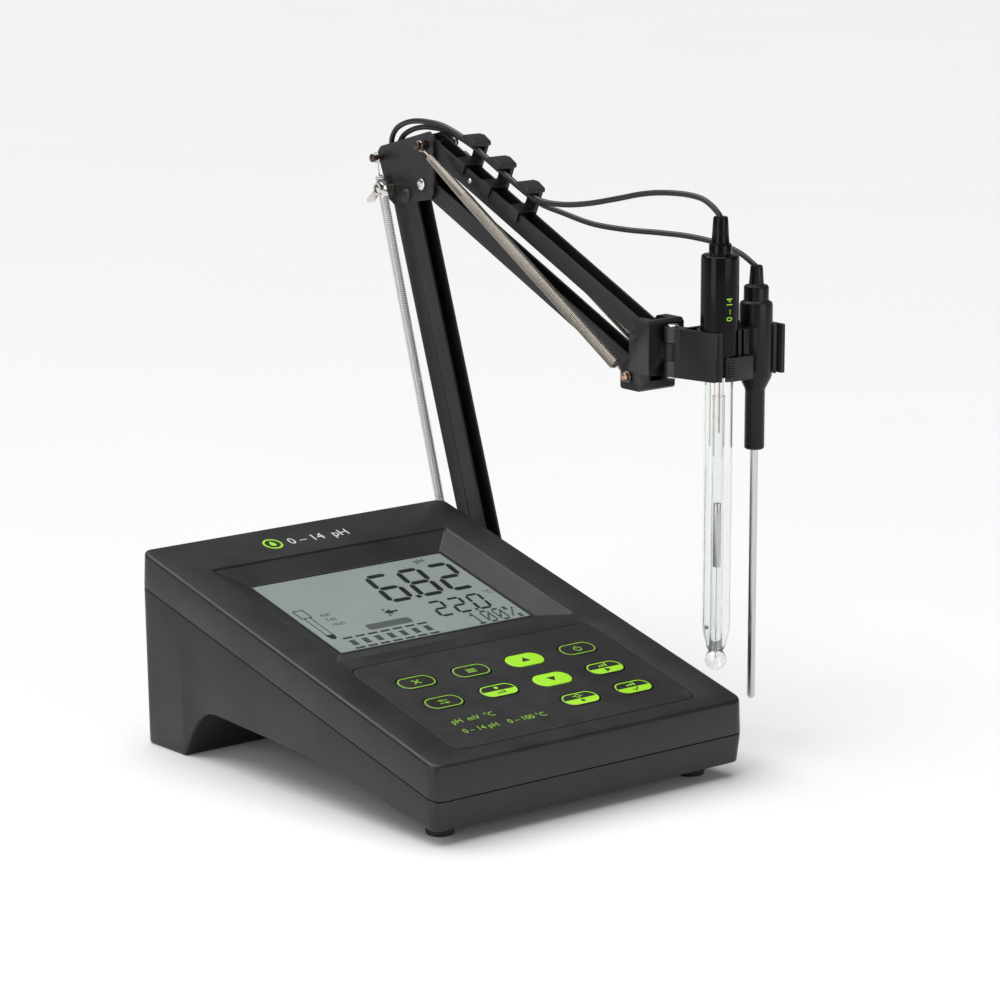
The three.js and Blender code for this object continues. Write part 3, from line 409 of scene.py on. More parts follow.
def words(name, text, size, origin, right, up, material, body, align="LEFT"):
    """Generic characters as thin solids. right and up are directions, origin in millimetres."""
    curve = bpy.data.curves.new(name, "FONT")
    curve.body, curve.size, curve.align_x = text, size, align
    curve.resolution_u = 3
    curve.extrude = 0.02
    loose = bpy.data.objects.new(name + "_text", curve)
    bpy.context.scene.collection.objects.link(loose)
    bpy.context.view_layer.update()
    mesh = bpy.data.meshes.new_from_object(
        loose.evaluated_get(bpy.context.evaluated_depsgraph_get()))
    bpy.data.objects.remove(loose)
    out = Vector(right).cross(Vector(up))
    turn = Matrix((right, up, out)).transposed().to_4x4()
    mesh.transform(Matrix.Translation(at(*origin)) @ turn @ Matrix.Scale(MM, 4))
    mesh.materials.clear()
    mesh.materials.append(material)
    piece = bpy.data.objects.new(name, mesh)
    bpy.context.scene.collection.objects.link(piece)
    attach(piece, body)
    return piece


# ---------------------------------------------------------------- leads
def curve_through(points, step):
    """A centripetal curve through points, in equal steps of about the given length."""
    pts = [Vector(p) for p in points]
    pts = [pts[0] * 2 - pts[1]] + pts + [pts[-1] * 2 - pts[-2]]
    fine = []
    for a, b, c, d in zip(pts, pts[1:], pts[2:], pts[3:]):
        ta, tb, tc = (max(1e-4, (q - p).length ** 0.5) for p, q in ((a, b), (b, c), (c, d)))
        before = ((b - a) / ta - (c - a) / (ta + tb) + (c - b) / tb) * tb
        after = ((c - b) / tb - (d - b) / (tb + tc) + (d - c) / tc) * tb
        for k in range(24):
            t = k / 24
            fine.append(b * (2 * t ** 3 - 3 * t ** 2 + 1) + c * (3 * t ** 2 - 2 * t ** 3)
                        + before * (t ** 3 - 2 * t ** 2 + t) + after * (t ** 3 - t ** 2))
    fine.append(pts[-2])
    total = sum((q - p).length for p, q in zip(fine, fine[1:]))
    count = max(2, round(total / step))
    out, run, wanted = [fine[0]], 0.0, total / count
    for p, q in zip(fine, fine[1:]):
        span = (q - p).length
        while span > 0 and run + span >= wanted * len(out) and len(out) < count:
            out.append(p.lerp(q, (wanted * len(out) - run) / span))
        run += span
    return out + [fine[-1]]


def climb(x):
    points = []
    for t in (4, 20, 80, 150, 205, 217):
        y, z = along(BASE_REAR, LOWER_LEAN, t)
        points.append((x, y + 3.7 * math.sin(LOWER_LEAN), z - 3.7 * math.cos(LOWER_LEAN)))
    return points


def over_upper_bar(x, distance, height):
    y, z = along(ELBOW_TOP, UPPER_TURN, distance)
    return (x, y + height * math.sin(UPPER_TURN), z - height * math.cos(UPPER_TURN))


def ring(radius, z, degrees):
    a = math.radians(degrees)
    return (COIL_X + radius * math.cos(a), COIL_Y + radius * math.sin(a), z)


def ph_turns():
    """Down the middle of the ring, then outwards near the table to the arm's side."""
    down = [ring(7.6, 9.0 - k * 0.51, -20 + k * 30) for k in range(13)]
    count = 38
    out = [ring(8.6 + 10.2 * k / count, 2.1, 370 + k * 998 / count) for k in range(count + 1)]
    return down + out


def temperature_turns():
    """Inwards in the middle layer and outwards in the top layer, to the arm's side."""
    count = 22
    low = [ring(18.6 - 6.6 * k / count, 5.0, 250 + k * 560 / count) for k in range(count + 1)]
    high = [ring(12.0 + 6.6 * k / count, min(7.9, 5.0 + 0.55 * k), 810 + k * 560 / count)
            for k in range(1, count + 1)]
    return low + high


def ph_points():
    x = ARM_X - 1.5
    y0 = BAY_FACE + 0.3 + 2.2 + 30 + 0.4
    rear = [(BNC[0], y0, 52), (BNC[0], y0 + 4, 52), (BNC[0] + 1, y0 + 9, 50), (24, y0 + 13, 44),
            (30, 165, 22), (38, 161.8, 12.6)]
    table = [(61.5, 157, 1.6), (68, 158, 1.6), (77, 155.6, 1.6), (88, 149, 1.6), (99, 141.4, 2),
             (104.6, 136, 6), (x, 132.8, 14), (x, 131.6, 22), (x, 126.8, 28), (x, 118, 28.8),
             (x, 110, 28.4), (x, 104.2, 30.4), (x, 100, 35)]
    over = [(x, 169.8, 258.4), (x, 170.8, 264), (x, 171.4, 269.5), (x, 168, 275),
            (x, 160.5, 279), (x, 151.5, 281), (x, 141, 281.4), (x, 129, 280.6)]
    bar = [over_upper_bar(x, 25, 15.3), over_upper_bar(x, 38, 15), over_upper_bar(x, 51, 14.9),
           over_upper_bar(x, 62, 14.9), over_upper_bar(x + 0.2, 72, 14.8),
           over_upper_bar(x + 0.9, 84, 16.4)]
    free = [(x + 2.6, 40, 250.7), (x + 4.6, 24, 252.7), (x + 6.8, 5, 256.9), (x + 8.6, -12, 261),
            (x + 10.2, -26, 263), (x + 12.2, -42, 263.4), (PH_X - 1, -52, 262),
            (PH_X - 0.2, -59.4, 257.6), (PH_X, ELECTRODE_Y, PH_TIP + 2.6),
            (PH_X, ELECTRODE_Y, PH_TIP + 0.4)]
    return rear + ph_turns() + table + climb(x) + over + bar + free


def temperature_points():
    x = ARM_X + 1.5
    y0 = BAY_FACE + 0.3 + 2.0 + 28 + 0.4
    rear = [(RCA[0], y0, 52), (RCA[0], y0 + 4, 52), (RCA[0] + 1, y0 + 9, 50),
            (-8, y0 + 13, 44), (-4, 158, 24), (8, 154, 13), (19, 151.5, 6.5)]
    table = [(60.9, 162.4, 6.4), (68, 165, 3.6), (79, 164, 1.6), (93, 157, 1.6),
             (103.6, 146, 1.8), (108.4, 138.6, 5.6), (x, 134, 13), (x, 132, 21.6),
             (x, 127.2, 28), (x, 118.4, 28.8), (x, 110.4, 28.4), (x, 104.4, 30.2),
             (x, 100, 35.2)]
    over = [(x, 169.6, 258), (x, 169.8, 263.4), (x, 169, 267.6), (x, 165.4, 272),
            (x, 159, 275.4), (x, 151, 277.6), (x, 141, 278.4), (x, 129, 277.6)]
    bar = [over_upper_bar(x, 25, 12.7), over_upper_bar(x, 38, 12.4), over_upper_bar(x, 51, 12.3),
           over_upper_bar(x, 62, 12.3), over_upper_bar(x + 0.1, 70, 12.4),
           over_upper_bar(x + 0.9, 82, 12.9)]
    free = [(x + 4.4, 44, 245.4), (x + 8.6, 28, 241.8), (x + 14, 8, 240.6), (x + 19, -10, 240.8),
            (x + 24, -26, 240.4), (x + 29, -42, 238.2), (TEMP_X - 2, -53, 234.6),
            (TEMP_X - 0.4, -60, 230.4), (TEMP_X, ELECTRODE_Y, TEMP_TIP + 2.4),
            (TEMP_X, ELECTRODE_Y, TEMP_TIP + 0.4)]
    return rear + temperature_turns() + table + climb(x) + over + bar + free


def nearest(path, point):
    return min(range(len(path)), key=lambda i: (path[i] - Vector(point)).length)


def lead(name, points, tip_body, nodes, marks):
    """One lead in lengths that each cross one joint. marks are where it is cut."""
    path = curve_through(points, 1.5)
    cuts = [0] + [nearest(path, mark) for mark in marks] + [len(path) - 1]
    spans = [
        ("table", ["meter"], None),
        ("post", ["meter", "turning_base"], (0.25, 0.9)),
        ("climb", ["turning_base", "lower_rear_link"], (0.04, 0.32)),
        ("elbow", ["lower_rear_link", "elbow"], (0.62, 0.93)),
        ("clips", ["elbow", "upper_top_link"], (0.2, 0.75)),
        ("free", ["upper_top_link", "head"], (0.3, 0.95)),
        ("near", ["head", "holder"], (0.1, 0.95)),
        ("tip", ["holder", tip_body], (0.1, 0.85)),
    ]
    for (part, bodies, share), first, last in zip(spans, cuts, cuts[1:]):
        line = [at(*p) for p in path[first:last + 1]]
        verts, faces = tube(line, CORD_R * MM)
        piece = place(f"{name}_lead_{part}", verts, faces, SHEATH, convert=False, angle=50)
        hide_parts(*(nodes[0] if part == "table" else nodes[1]))
        if share:
            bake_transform(piece)
        else:
            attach(piece, bodies[0])


def mid_climb(x, t):
    y, z = along(BASE_REAR, LOWER_LEAN, t)
    return (x, y + 3.7 * math.sin(LOWER_LEAN), z - 3.7 * math.cos(LOWER_LEAN))


def make_leads():
    x = ARM_X - 1.5
    lead("ph", ph_points(), "ph_electrode", (["ph_lead_rear", "lead_coil"], ["ph_lead"]),
         [(77, 155.6, 1.6), (x, 116, 28.8), mid_climb(x, 110), (x, 146, 280.6),
          over_upper_bar(x + 0.4, 76, 15), (x + 5, 20, 253.4), (x + 9, -14, 261.3)])
    x = ARM_X + 1.5
    lead("temperature", temperature_points(), "temperature_probe",
         (["temperature_lead_rear", "lead_coil"], ["temperature_lead"]),
         [(79, 164, 1.6), (x, 116, 28.8), mid_climb(x, 110), (x, 146, 277.4),
          over_upper_bar(x + 0.8, 76, 12.6), (x + 10, 22, 241.2), (x + 20, -13, 240.8)])


make_leads()


def make_tie():
    """A soft tie round one side of the coil."""
    path = [(9.8, 0.02), (19.8, 0.02), (20.9, 1.2), (20.9, 7.8), (19.8, 9.6), (11.4, 9.6),
            (9.6, 8.2), (9.3, 4.0)]
    inner = [(10.2, 0.42), (19.6, 0.42), (20.4, 1.5), (20.4, 7.6), (19.6, 9.2), (11.6, 9.2),
             (10.1, 8.0), (9.8, 4.0)]
    verts, faces = [], []
    for level in (-1.6, 1.6):
        for loop in (path, inner):
            verts += [(COIL_X + level, COIL_Y + r, z) for r, z in loop]
    n = len(path)
    for i in range(n):
        j = (i + 1) % n
        faces += [[i, j, n + j, n + i], [2 * n + i, 3 * n + i, 3 * n + j, 2 * n + j],
                  [i, 2 * n + i, 2 * n + j, j], [n + i, n + j, 3 * n + j, 3 * n + i]]
    place("coil_tie", verts, faces, RUBBER, "meter", slot="rubber", bevel=0.15)


make_tie()


# ---------------------------------------------------------------- the case
SIDE_YS = [-100, -85, -70, -55, -40, -25, -15, -5, 5, 20, 35, 48, 55, 60, 64, 67.5, 70.5, 73, 75,
           76.8, 78.2, 79.3, 80.2, 82, 86, 92, 98, 104]


def right_side(inset, radius=6.0):
    """The right half of the footprint's outline, from the front to the rear."""
    r = max(0.4, radius - inset)
    x, y = HALF_W - inset - r, HALF_D - inset - r
    points = [(x + r * math.sin(a), -y - r * math.cos(a))
              for a in (math.pi / 2 * k / 8 for k in range(9))]
    points += [(HALF_W - inset, s) for s in SIDE_YS]
    points += [(x + r * math.cos(a), y + r * math.sin(a))
               for a in (math.pi / 2 * k / 8 for k in range(9))]
    return points


def loop_of(inset, height):
    right = right_side(inset)
    return ([(x, y, height(x, y)) for x, y in right]
            + [(-x, y, height(x, y)) for x, y in right[::-1]])


def stacked(rings):
    """Quads between rings with the same number of points, each ring a list of places."""
    n = len(rings[0])
    verts = [p for points in rings for p in points]
    faces = [[k * n + i, k * n + (i + 1) % n, (k + 1) * n + (i + 1) % n, (k + 1) * n + i]
             for k in range(len(rings) - 1) for i in range(n)]
    return verts, faces


def seam_at(y):
    return FRONT_SEAM + (REAR_SEAM - FRONT_SEAM) * (y / CASE_D + 0.5)


def top_at(y):
    return FRONT_TOP + (REAR_TOP - FRONT_TOP) * (y / CASE_D + 0.5)


def bezier(t):
    pts = [(55, 25), (68, 25), (73, 13), (80, 0)]
    m = 1 - t
    weights = (m ** 3, 3 * m * m * t, 3 * m * t * t, t ** 3)
    return tuple(sum(w * p[i] for w, p in zip(weights, pts)) for i in range(2))


ARCH = [bezier(k / 60) for k in range(61)]


def bottom_at(y):
    if y <= -15:
        return 6.5 + 15 * (y + HALF_D) / (HALF_D - 15)
    if y <= 55:
        return 21.5 + 3.5 * (y + 15) / 70
    if y >= 80:
        return 0.0
    for (y0, z0), (y1, z1) in zip(ARCH, ARCH[1:]):
        if y0 <= y <= y1:
            return z0 + (z1 - z0) * (y - y0) / max(1e-6, y1 - y0)
    return 0.0


def filled(outer, holes, material, name, **more):
    """A flat face with holes, all loops in the meter's millimetres."""
    build = bmesh.new()
    edges = []
    for loop in [outer] + holes:
        verts = [build.verts.new(p) for p in loop]
        edges += [build.edges.new((a, b)) for a, b in zip(verts, verts[1:] + verts[:1])]
    bmesh.ops.triangle_fill(build, use_beauty=True, use_dissolve=False, edges=edges)
    build.verts.index_update()
    result = ([tuple(v.co) for v in build.verts], [[v.index for v in f.verts] for f in build.faces])
    build.free()
    return result


def make_upper_case():
    draft, edge = 0.5, 1.7
    rings = [loop_of(2.4, lambda x, y: seam_at(y) + 0.3),
             loop_of(0.45, lambda x, y: seam_at(y) + 0.3),
             loop_of(0.12, lambda x, y: seam_at(y) + 0.45),
             loop_of(0.0, lambda x, y: seam_at(y) + 0.9)]
    for k in range(7):
        a = math.pi / 2 * k / 6
        rings.append(loop_of(draft + edge * (1 - math.cos(a)),
                             lambda x, y, a=a: top_at(y) - edge * (1 - math.sin(a))))
    top = [panel(x, (y + HALF_D) / COS) for x, y, z in rings[-1]]
    rings[-1] = top
    well = []
    for grow, w in ((1.0, 0.0), (0.45, -0.12), (0.1, -0.45), (-0.3, -0.9)):
        well.append([panel(u, v, w) for u, v in
                     rounded(WELL_W + 2 * grow, WELL_H + 2 * grow, 1.6 + grow, 0, GLASS_V)])
    for part in (0.25, 0.5, 0.75, 1.0):
        w = -0.9 - part * (GLASS_DEPTH - 0.9)
        size = [a + (b - a) * part for a, b in ((WELL_W - 0.6, GLASS_W), (WELL_H - 0.6, GLASS_H))]
        well.append([panel(u, v, w) for u, v in rounded(*size, 1.3 - 0.4 * part, 0, GLASS_V)])
    well.append([panel(u, v, -GLASS_DEPTH - 0.9) for u, v in
                 rounded(GLASS_W - 0.4, GLASS_H - 0.4, 0.8, 0, GLASS_V)])
    height = OVERLAY["v1"] - OVERLAY["v0"]
    middle = (OVERLAY["v0"] + OVERLAY["v1"]) / 2
    sink = []
    for grow, w in ((0.75, 0.0), (0.5, -0.08), (0.35, -0.3), (0.3, -1.0)):
        sink.append([panel(u, v, w) for u, v in
                     rounded(OVERLAY["w"] + 2 * grow, height + 2 * grow, OVERLAY["r"] + grow, 0,
                             middle)])
    key_holes = [[panel(u, v, -1.0) for u, v in rounded(21.9, 11.9, 5.9, *key_place(c, r), 6)]
                 for _, c, r in KEYS]
    face = filled(rings[-1], [well[0], sink[0]], CASE, "face")
    floor = filled(sink[-1], key_holes, CASE, "floor")
    verts, faces = combined(stacked(rings), face, stacked(well), stacked(sink), floor)
    return place("case_top", verts, faces, CASE, "meter", ["upper_case"], "case", angle=26)


KEY_PITCH_U, KEY_PITCH_V, KEY_TOP_V = 32.1, 20.7, 71.5
KEYS = [
    ("key_escape", 0, 0), ("key_memory_recall", 1, 0), ("key_up", 2, 0), ("key_power", 3, 0),
    ("key_setup", 0, 1), ("key_log_clear", 1, 1), ("key_down", 2, 1), ("key_range", 3, 1),
    ("key_calibrate", 2, 2), ("key_accept", 3, 2),
]


def key_place(column, row):
    return (column - 1.5) * KEY_PITCH_U, KEY_TOP_V - row * KEY_PITCH_V


def make_lower_case():
    draft, edge = 1.4, 1.5
    rings = [loop_of(2.4, lambda x, y: seam_at(y)),
             loop_of(0.45, lambda x, y: seam_at(y)),
             loop_of(0.12, lambda x, y: seam_at(y) - 0.15),
             loop_of(0.0, lambda x, y: seam_at(y) - 0.6)]
    for k in range(6):
        a = math.pi / 2 * k / 5
        rings.append(loop_of(draft + edge * (1 - math.cos(a)),
                             lambda x, y, a=a: bottom_at(y) + edge * (1 - math.sin(a))))
    verts, faces = stacked(rings)
    n = len(rings[0])
    last = (len(rings) - 1) * n
    for first in (0, last):
        faces += [[first + i, first + i + 1, first + n - 2 - i, first + n - 1 - i]
                  for i in range(n // 2 - 1)]
    shell = place("case_base", verts, faces, CASE, None, ["lower_case"], "case", angle=26)
    bay = [(-72, 32), (72, 32), (72, 70), (-72, 70)]
    cutters = [
        place("bay_cut", *pushed(bay, "y", BAY_FACE, HALF_D + 2), CASE),
        place("plate_cut", *pushed([(57.5, 78), (HALF_W + 2, 78), (HALF_W + 2, 103), (57.5, 103)],
                                   "z", -1, 3.2), CASE),
    ]
    for x, z, r in ((*BNC, 4.9), (*RCA, 4.3)):
        cutters.append(place("hole_cut", *capped([(r, BAY_FACE - 8), (r, BAY_FACE + 1)], (x, 0, z),
                                                 "y"), CASE))
    jack = [(JACK[0] + a * 5.3, JACK[1] + b * 6.3) for a, b in ((-1, -1), (1, -1), (1, 1), (-1, 1))]
    cutters.append(place("jack_cut", *pushed(jack, "y", BAY_FACE - 8, BAY_FACE + 1), CASE))
    carve(shell, cutters)
    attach(shell, "meter")
    return shell


def capped(profile, origin, axis, sides=32):
    """A turned piece closed on its axis at both ends."""
    return turned([(0, profile[0][1])] + profile + [(0, profile[-1][1])], origin, axis, sides)


make_upper_case()
make_lower_case()


def make_feet():
    profile = [(0, 0.1), (4.2, 0.1), (4.5, 0.5), (5.1, 0.5), (5.5, 0.0), (6.2, 0.35), (6.6, 1.2),
               (6.5, 3.2), (6.1, 5.0), (6.0, 10.0), (0, 10.0)]
    for name in ("foot_front_left", "foot_front_right"):
        x, y = (math.copysign(75, -1 if name.endswith("left") else 1), -95)
        place(name + "_pad", *turned(profile, (x, y, 0)), RUBBER, "meter", [name], "rubber",
              angle=50)


make_feet()


# ---------------------------------------------------------------- display
SEGMENTS = {"0": "abcdef", "1": "bc", "2": "abged", "3": "abgcd", "4": "fgbc", "5": "afgcd",
            "6": "afgedc", "7": "abc", "8": "abcdefg", "9": "abcdfg"}
LEAN = 0.12


def seven(figure, u, v, w, h, t):
    """The strokes of a seven-segment figure whose lower left is at u, v."""
    gap = t * 0.16
    half = h / 2
    bars = {"a": ((0, h), (w, h)), "g": ((0, half), (w, half)), "d": ((0, 0), (w, 0)),
            "f": ((0, half), (0, h)), "b": ((w, half), (w, h)), "e": ((0, 0), (0, half)),
            "c": ((w, 0), (w, half))}
    out = []
    for key in SEGMENTS[figure]:
        (x0, y0), (x1, y1) = bars[key]
        flat = y0 == y1
        if flat:
            x0, x1 = x0 + gap, x1 - gap
            loop = [(x0, y0), (x0 + t / 2, y0 - t / 2), (x1 - t / 2, y0 - t / 2), (x1, y0),
                    (x1 - t / 2, y0 + t / 2), (x0 + t / 2, y0 + t / 2)]
        else:
            y0, y1 = y0 + gap, y1 - gap
            loop = [(x0, y0), (x0 + t / 2, y0 + t / 2), (x0 + t / 2, y1 - t / 2), (x0, y1),
                    (x0 - t / 2, y1 - t / 2), (x0 - t / 2, y0 + t / 2)]
        out.append([(u + x + LEAN * y, v + y) for x, y in loop])
    return out


LCD_W = -5.45


def block(u0, v0, u1, v1):
    return [(u0, v0), (u1, v0), (u1, v1), (u0, v1)]


def make_display():
    inner = rounded(GLASS_W - 2.6, GLASS_H - 2.6, 0.8, 0, GLASS_V)
    outer = rounded(GLASS_W - 0.6, GLASS_H - 0.6, 0.9, 0, GLASS_V)
    place("display_rim", *band(outer, inner, -5.9, -4.95), INK, "meter", slot="case")
    place("display_pane", *on_panel(rounded(GLASS_W - 2.8, GLASS_H - 2.8, 0.8, 0, GLASS_V), -5.2,
                                    -5.0), WINDOW, "meter", ["display_window"], "window", bevel=0.05)
    place("display_glass", *on_panel(rounded(GLASS_W + 2, GLASS_H + 2, 1, 0, GLASS_V), -8.5, -5.5),
          LCD, "meter", ["lcd_panel"], "lcd", bevel=0.2)
    marks = []
    for figure, u in zip("682", (0.6, 19.6, 38.0)):
        marks += seven(figure, u, 153.5, 12.2, 25.5, 3.1)
    marks.append(block(15.6, 152.0, 18.2, 154.8))
    for figure, u in zip("220", (14.6, 26.0, 37.8)):
        marks += seven(figure, u, 131.8, 7.2, 14.0, 1.75)
    marks.append(block(35.0, 131.0, 36.6, 132.8))
    marks += [[(-11, 144.5), (-6.6, 146.9), (-6.6, 145.2), (-3, 145.2), (-3, 143.8), (-6.6, 143.8),
               (-6.6, 142.1)], block(-9.8, 146.4, -9.0, 148.4), block(-9.8, 140.6, -9.0, 142.6)]
    marks += [block(-53.6, 152.6, -47.4, 153.2), block(-53.6, 160.4, -47.4, 161.0),
              block(-53.6, 152.6, -53.0, 161.0), block(-48.0, 152.6, -47.4, 161.0),
              block(-52.6, 134.6, -52.1, 152.6), block(-49.1, 134.6, -48.6, 152.6),
              [(-53.0, 134.6), (-48.2, 134.6), (-48.8, 131.2), (-50.6, 129.8), (-52.4, 131.2)]]
    place("display_figures", *combined(*[on_panel(m, -5.5, LCD_W) for m in marks]), SEGMENT,
          "meter", slot="lcd")
    right, up = (1, 0, 0), (0, COS, SIN)
    for name, text, size, u, v, ink in (
            ("display_unit", "pH", 5.2, 38.0, 184.0, SEGMENT),
            ("display_degree", "°C", 4.4, 51.0, 144.4, SEGMENT),
            ("display_values_a", "4.01", 3.6, -43.0, 151.5, SEGMENT),
            ("display_values_b", "7.01", 3.6, -43.0, 146.5, SEGMENT),
            ("display_values_c", "10.01", 3.6, -43.0, 141.5, SEGMENT)):
        words(name, text, size, panel(u, v, LCD_W), right, up, ink, "meter")
    place("display_tag", *on_panel(rounded(26, 5.4, 1.2, -15.5, 134.4, 3), -5.5, LCD_W), GHOST,
          "meter", slot="lcd")
    dots = []
    rows = {"1": ["00100", "01100", "00100", "00100", "00100", "00100", "01110"],
            "0": ["01110", "10001", "10011", "10101", "11001", "10001", "01110"],
            "%": ["11000", "11001", "00010", "00100", "01000", "10011", "00011"],
            "-": ["00000", "00000", "00000", "11111", "00000", "00000", "00000"],
            "#": ["11111", "11111", "11111", "11111", "11111", "11111", "11111"]}
    text = "-#######---" + "100%"
    for i, letter in enumerate(text[:15]):
        pattern = rows["#"] if letter == "#" else rows[letter]
        for j, line in enumerate(pattern):
            for k, dot in enumerate(line):
                faint = letter == "-"
                if letter == "#" and (j in (1, 5) or k in (0, 4)) and 0 < j < 6:
                    continue
                if dot == "1" and not faint:
                    u = -54.2 + i * 7.35 + k * 1.12
                    v = 128.2 - j * 1.72
                    dots.append(block(u, v, u + 0.95, v + 1.42))
    place("display_dots", *combined(*[on_panel(m, -5.5, LCD_W) for m in dots]), SEGMENT, "meter",
          slot="lcd")


make_display()


# ---------------------------------------------------------------- keypad
def make_overlay():
    middle, height = (OVERLAY["v0"] + OVERLAY["v1"]) / 2, OVERLAY["v1"] - OVERLAY["v0"]
    w0, w1 = OVERLAY["low"], OVERLAY["high"]
    loops = [[rounded(OVERLAY["w"] - 2 * s, height - 2 * s, OVERLAY["r"] - s, 0, middle), w]
             for s, w in ((0, w0), (0, w1 - 0.15), (0.15, w1))]
    outside = [[panel(u, v, w) for u, v in loop] for loop, w in loops]
    holes_top = [[panel(u, v, w1) for u, v in rounded(21.8, 11.8, 5.88, *key_place(c, r), 8)]
                 for _, c, r in KEYS]
    holes_low = [[panel(u, v, w0) for u, v in rounded(21.6, 11.6, 5.78, *key_place(c, r), 8)]
                 for _, c, r in KEYS]
    face = filled(outside[-1], holes_top, FILM, "film")
    back = filled(outside[0], holes_low, FILM, "film back")
    walls = [stacked([a, b]) for a, b in zip(holes_low, holes_top)]
    verts, faces = combined(stacked(outside), face, back, *walls)
    place("keypad_film", verts, faces, FILM, "meter", ["keypad_overlay"], "overlay", angle=30)


make_overlay()


def arc(u, v, r, a0, a1, t, steps=14):
    """An arc stroke as quads on the panel."""
    out = []
    for k in range(steps):
        angles = [math.radians(a0 + (a1 - a0) * (k + s) / steps) for s in (0, 1)]
        out.append([(u + q * math.cos(a), v + q * math.sin(a))
                    for q, a in ((r - t / 2, angles[0]), (r - t / 2, angles[1]),
                                 (r + t / 2, angles[1]), (r + t / 2, angles[0]))])
    return out


def stroke(a, b, t):
    dx, dy = b[0] - a[0], b[1] - a[1]
    n = math.hypot(dx, dy)
    px, py = -dy / n * t / 2, dx / n * t / 2
    return [(a[0] + px, a[1] + py), (a[0] - px, a[1] - py), (b[0] - px, b[1] - py),
            (b[0] + px, b[1] + py)]


def symbol(kind, u, v):
    """A plain sign for a key, about 5 wide."""
    if kind == "up":
        return [[(u - 2.6, v - 1.7), (u + 2.6, v - 1.7), (u, v + 2.1)]]
    if kind == "down":
        return [[(u - 2.6, v + 1.7), (u, v - 2.1), (u + 2.6, v + 1.7)]]
    if kind == "right":
        return [[(u - 1.3, v - 1.7), (u + 1.9, v), (u - 1.3, v + 1.7)]]
    if kind == "cross":
        return [stroke((u - 1.9, v - 1.7), (u + 1.9, v + 1.7), 0.75),
                stroke((u - 1.9, v + 1.7), (u + 1.9, v - 1.7), 0.75)]
    if kind == "store":
        return [block(u - 2.6, v + 0.8, u + 2.6, v + 1.5), block(u - 2.6, v - 0.4, u + 2.6, v + 0.3),
                block(u - 2.6, v - 1.6, u + 2.6, v - 0.9)]
    if kind == "power":
        return arc(u, v - 0.2, 1.9, 125, 415, 0.7) + [block(u - 0.35, v + 0.2, u + 0.35, v + 2.5)]
    if kind == "sliders":
        return [block(u - 2.8, v + 1.0, u + 2.8, v + 1.45), block(u - 1.6, v + 0.4, u - 0.4, v + 2.0),
                block(u - 2.8, v - 1.3, u + 2.8, v - 0.85), block(u + 0.6, v - 1.9, u + 1.8, v - 0.3)]
    if kind == "dot":
        return arc(u, v, 0.55, 0, 360, 1.1)
    if kind == "target":
        return arc(u, v, 1.25, 0, 360, 0.5) + [block(u - 3.0, v - 0.2, u - 1.6, v + 0.2),
                                               block(u + 1.6, v - 0.2, u + 3.0, v + 0.2)]
    if kind == "bars":
        return [block(u - 2.4, v - 1.1, u - 1.4, v + 0.1), block(u - 0.5, v - 1.1, u + 0.5, v + 0.7),
                block(u + 1.4, v - 1.1, u + 2.4, v + 1.3)]
    if kind == "tick":
        return [stroke((u - 1.8, v + 0.1), (u - 0.4, v - 1.3), 0.65),
                stroke((u - 0.55, v - 1.3), (u + 2.0, v + 1.4), 0.65)]
    return []


KEY_SIGNS = {
    "key_escape": ("plain", "cross", None), "key_memory_recall": ("plain", "store", None),
    "key_up": ("lime", "up", None), "key_power": ("plain", "power", None),
    "key_setup": ("plain", "sliders", None), "key_log_clear": ("split", "dot", "bars"),
    "key_down": ("lime", "down", None), "key_range": ("split", "bars", "right"),
    "key_calibrate": ("split", "target", "dot"), "key_accept": ("split", "bars", "tick"),
}


def half_pill(u, v, w, h, r, steps=8):
    """The lower half of a pill."""
    left = [(u - w / 2 + r - r * math.cos(a), v - r * math.sin(a) * (h / 2 / r))
            for a in (math.pi / 2 * k / steps for k in range(steps + 1))]
    right = [(2 * u - p[0], p[1]) for p in left[::-1]]
    return left + right


def make_keys():
    top = 0.1
    for name, column, row in KEYS:
        u, v = key_place(column, row)
        style, sign, lower = KEY_SIGNS[name]
        face = LIME if style == "lime" else KEY_DARK
        slot = "key_green" if style == "lime" else "key_dark"
        rings = []
        for inset, w in ((0, -3.6), (0, -0.35), (0.12, -0.05), (0.4, top - 0.03), (0.9, top)):
            rings.append([panel(a, b, w) for a, b in
                          rounded(21 - 2 * inset, 11 - 2 * inset, 5.49 - inset, u, v)])
        verts, faces = stacked(rings)
        n = len(rings[0])
        faces += [list(range(n))[::-1], [len(verts) - n + i for i in range(n)]]
        place(name + "_cap", verts, faces, face, name, [name], slot, angle=40)
        w0, w1 = top - 0.02, top + 0.03
        if style != "lime":
            outer = rounded(19.8, 9.8, 4.88, u, v)
            inner = rounded(18.5, 8.5, 4.24, u, v)
            ink = LIME_SOFT if style == "plain" else LIME
            place(name + "_outline", *band(outer, inner, w0, w1), ink, name, slot="key_green")
        if style == "plain":
            marks = symbol(sign, u, v)
            place(name + "_sign", *combined(*[on_panel(m, w0, w1) for m in marks]), LIME_SOFT,
                  name, slot="key_green")
        elif style == "lime":
            marks = symbol(sign, u, v)
            place(name + "_sign", *combined(*[on_panel(m, w0, w1) for m in marks]), INK, name,
                  slot="key_dark")
        else:
            place(name + "_field", *on_panel(half_pill(u, v - 0.2, 18.6, 8.2, 4.1), w0, w1 - 0.01),
                  LIME, name, slot="key_green")
            upper = symbol(sign, u, v + 2.2)
            under = symbol(lower, u, v - 2.1)
            place(name + "_sign", *combined(*[on_panel(m, w0, w1) for m in upper]), LIME, name,
                  slot="key_green")
            place(name + "_lower_sign",
                  *combined(*[on_panel(m, w0, w1 + 0.02) for m in under]), INK, name,
                  slot="key_dark")


make_keys()


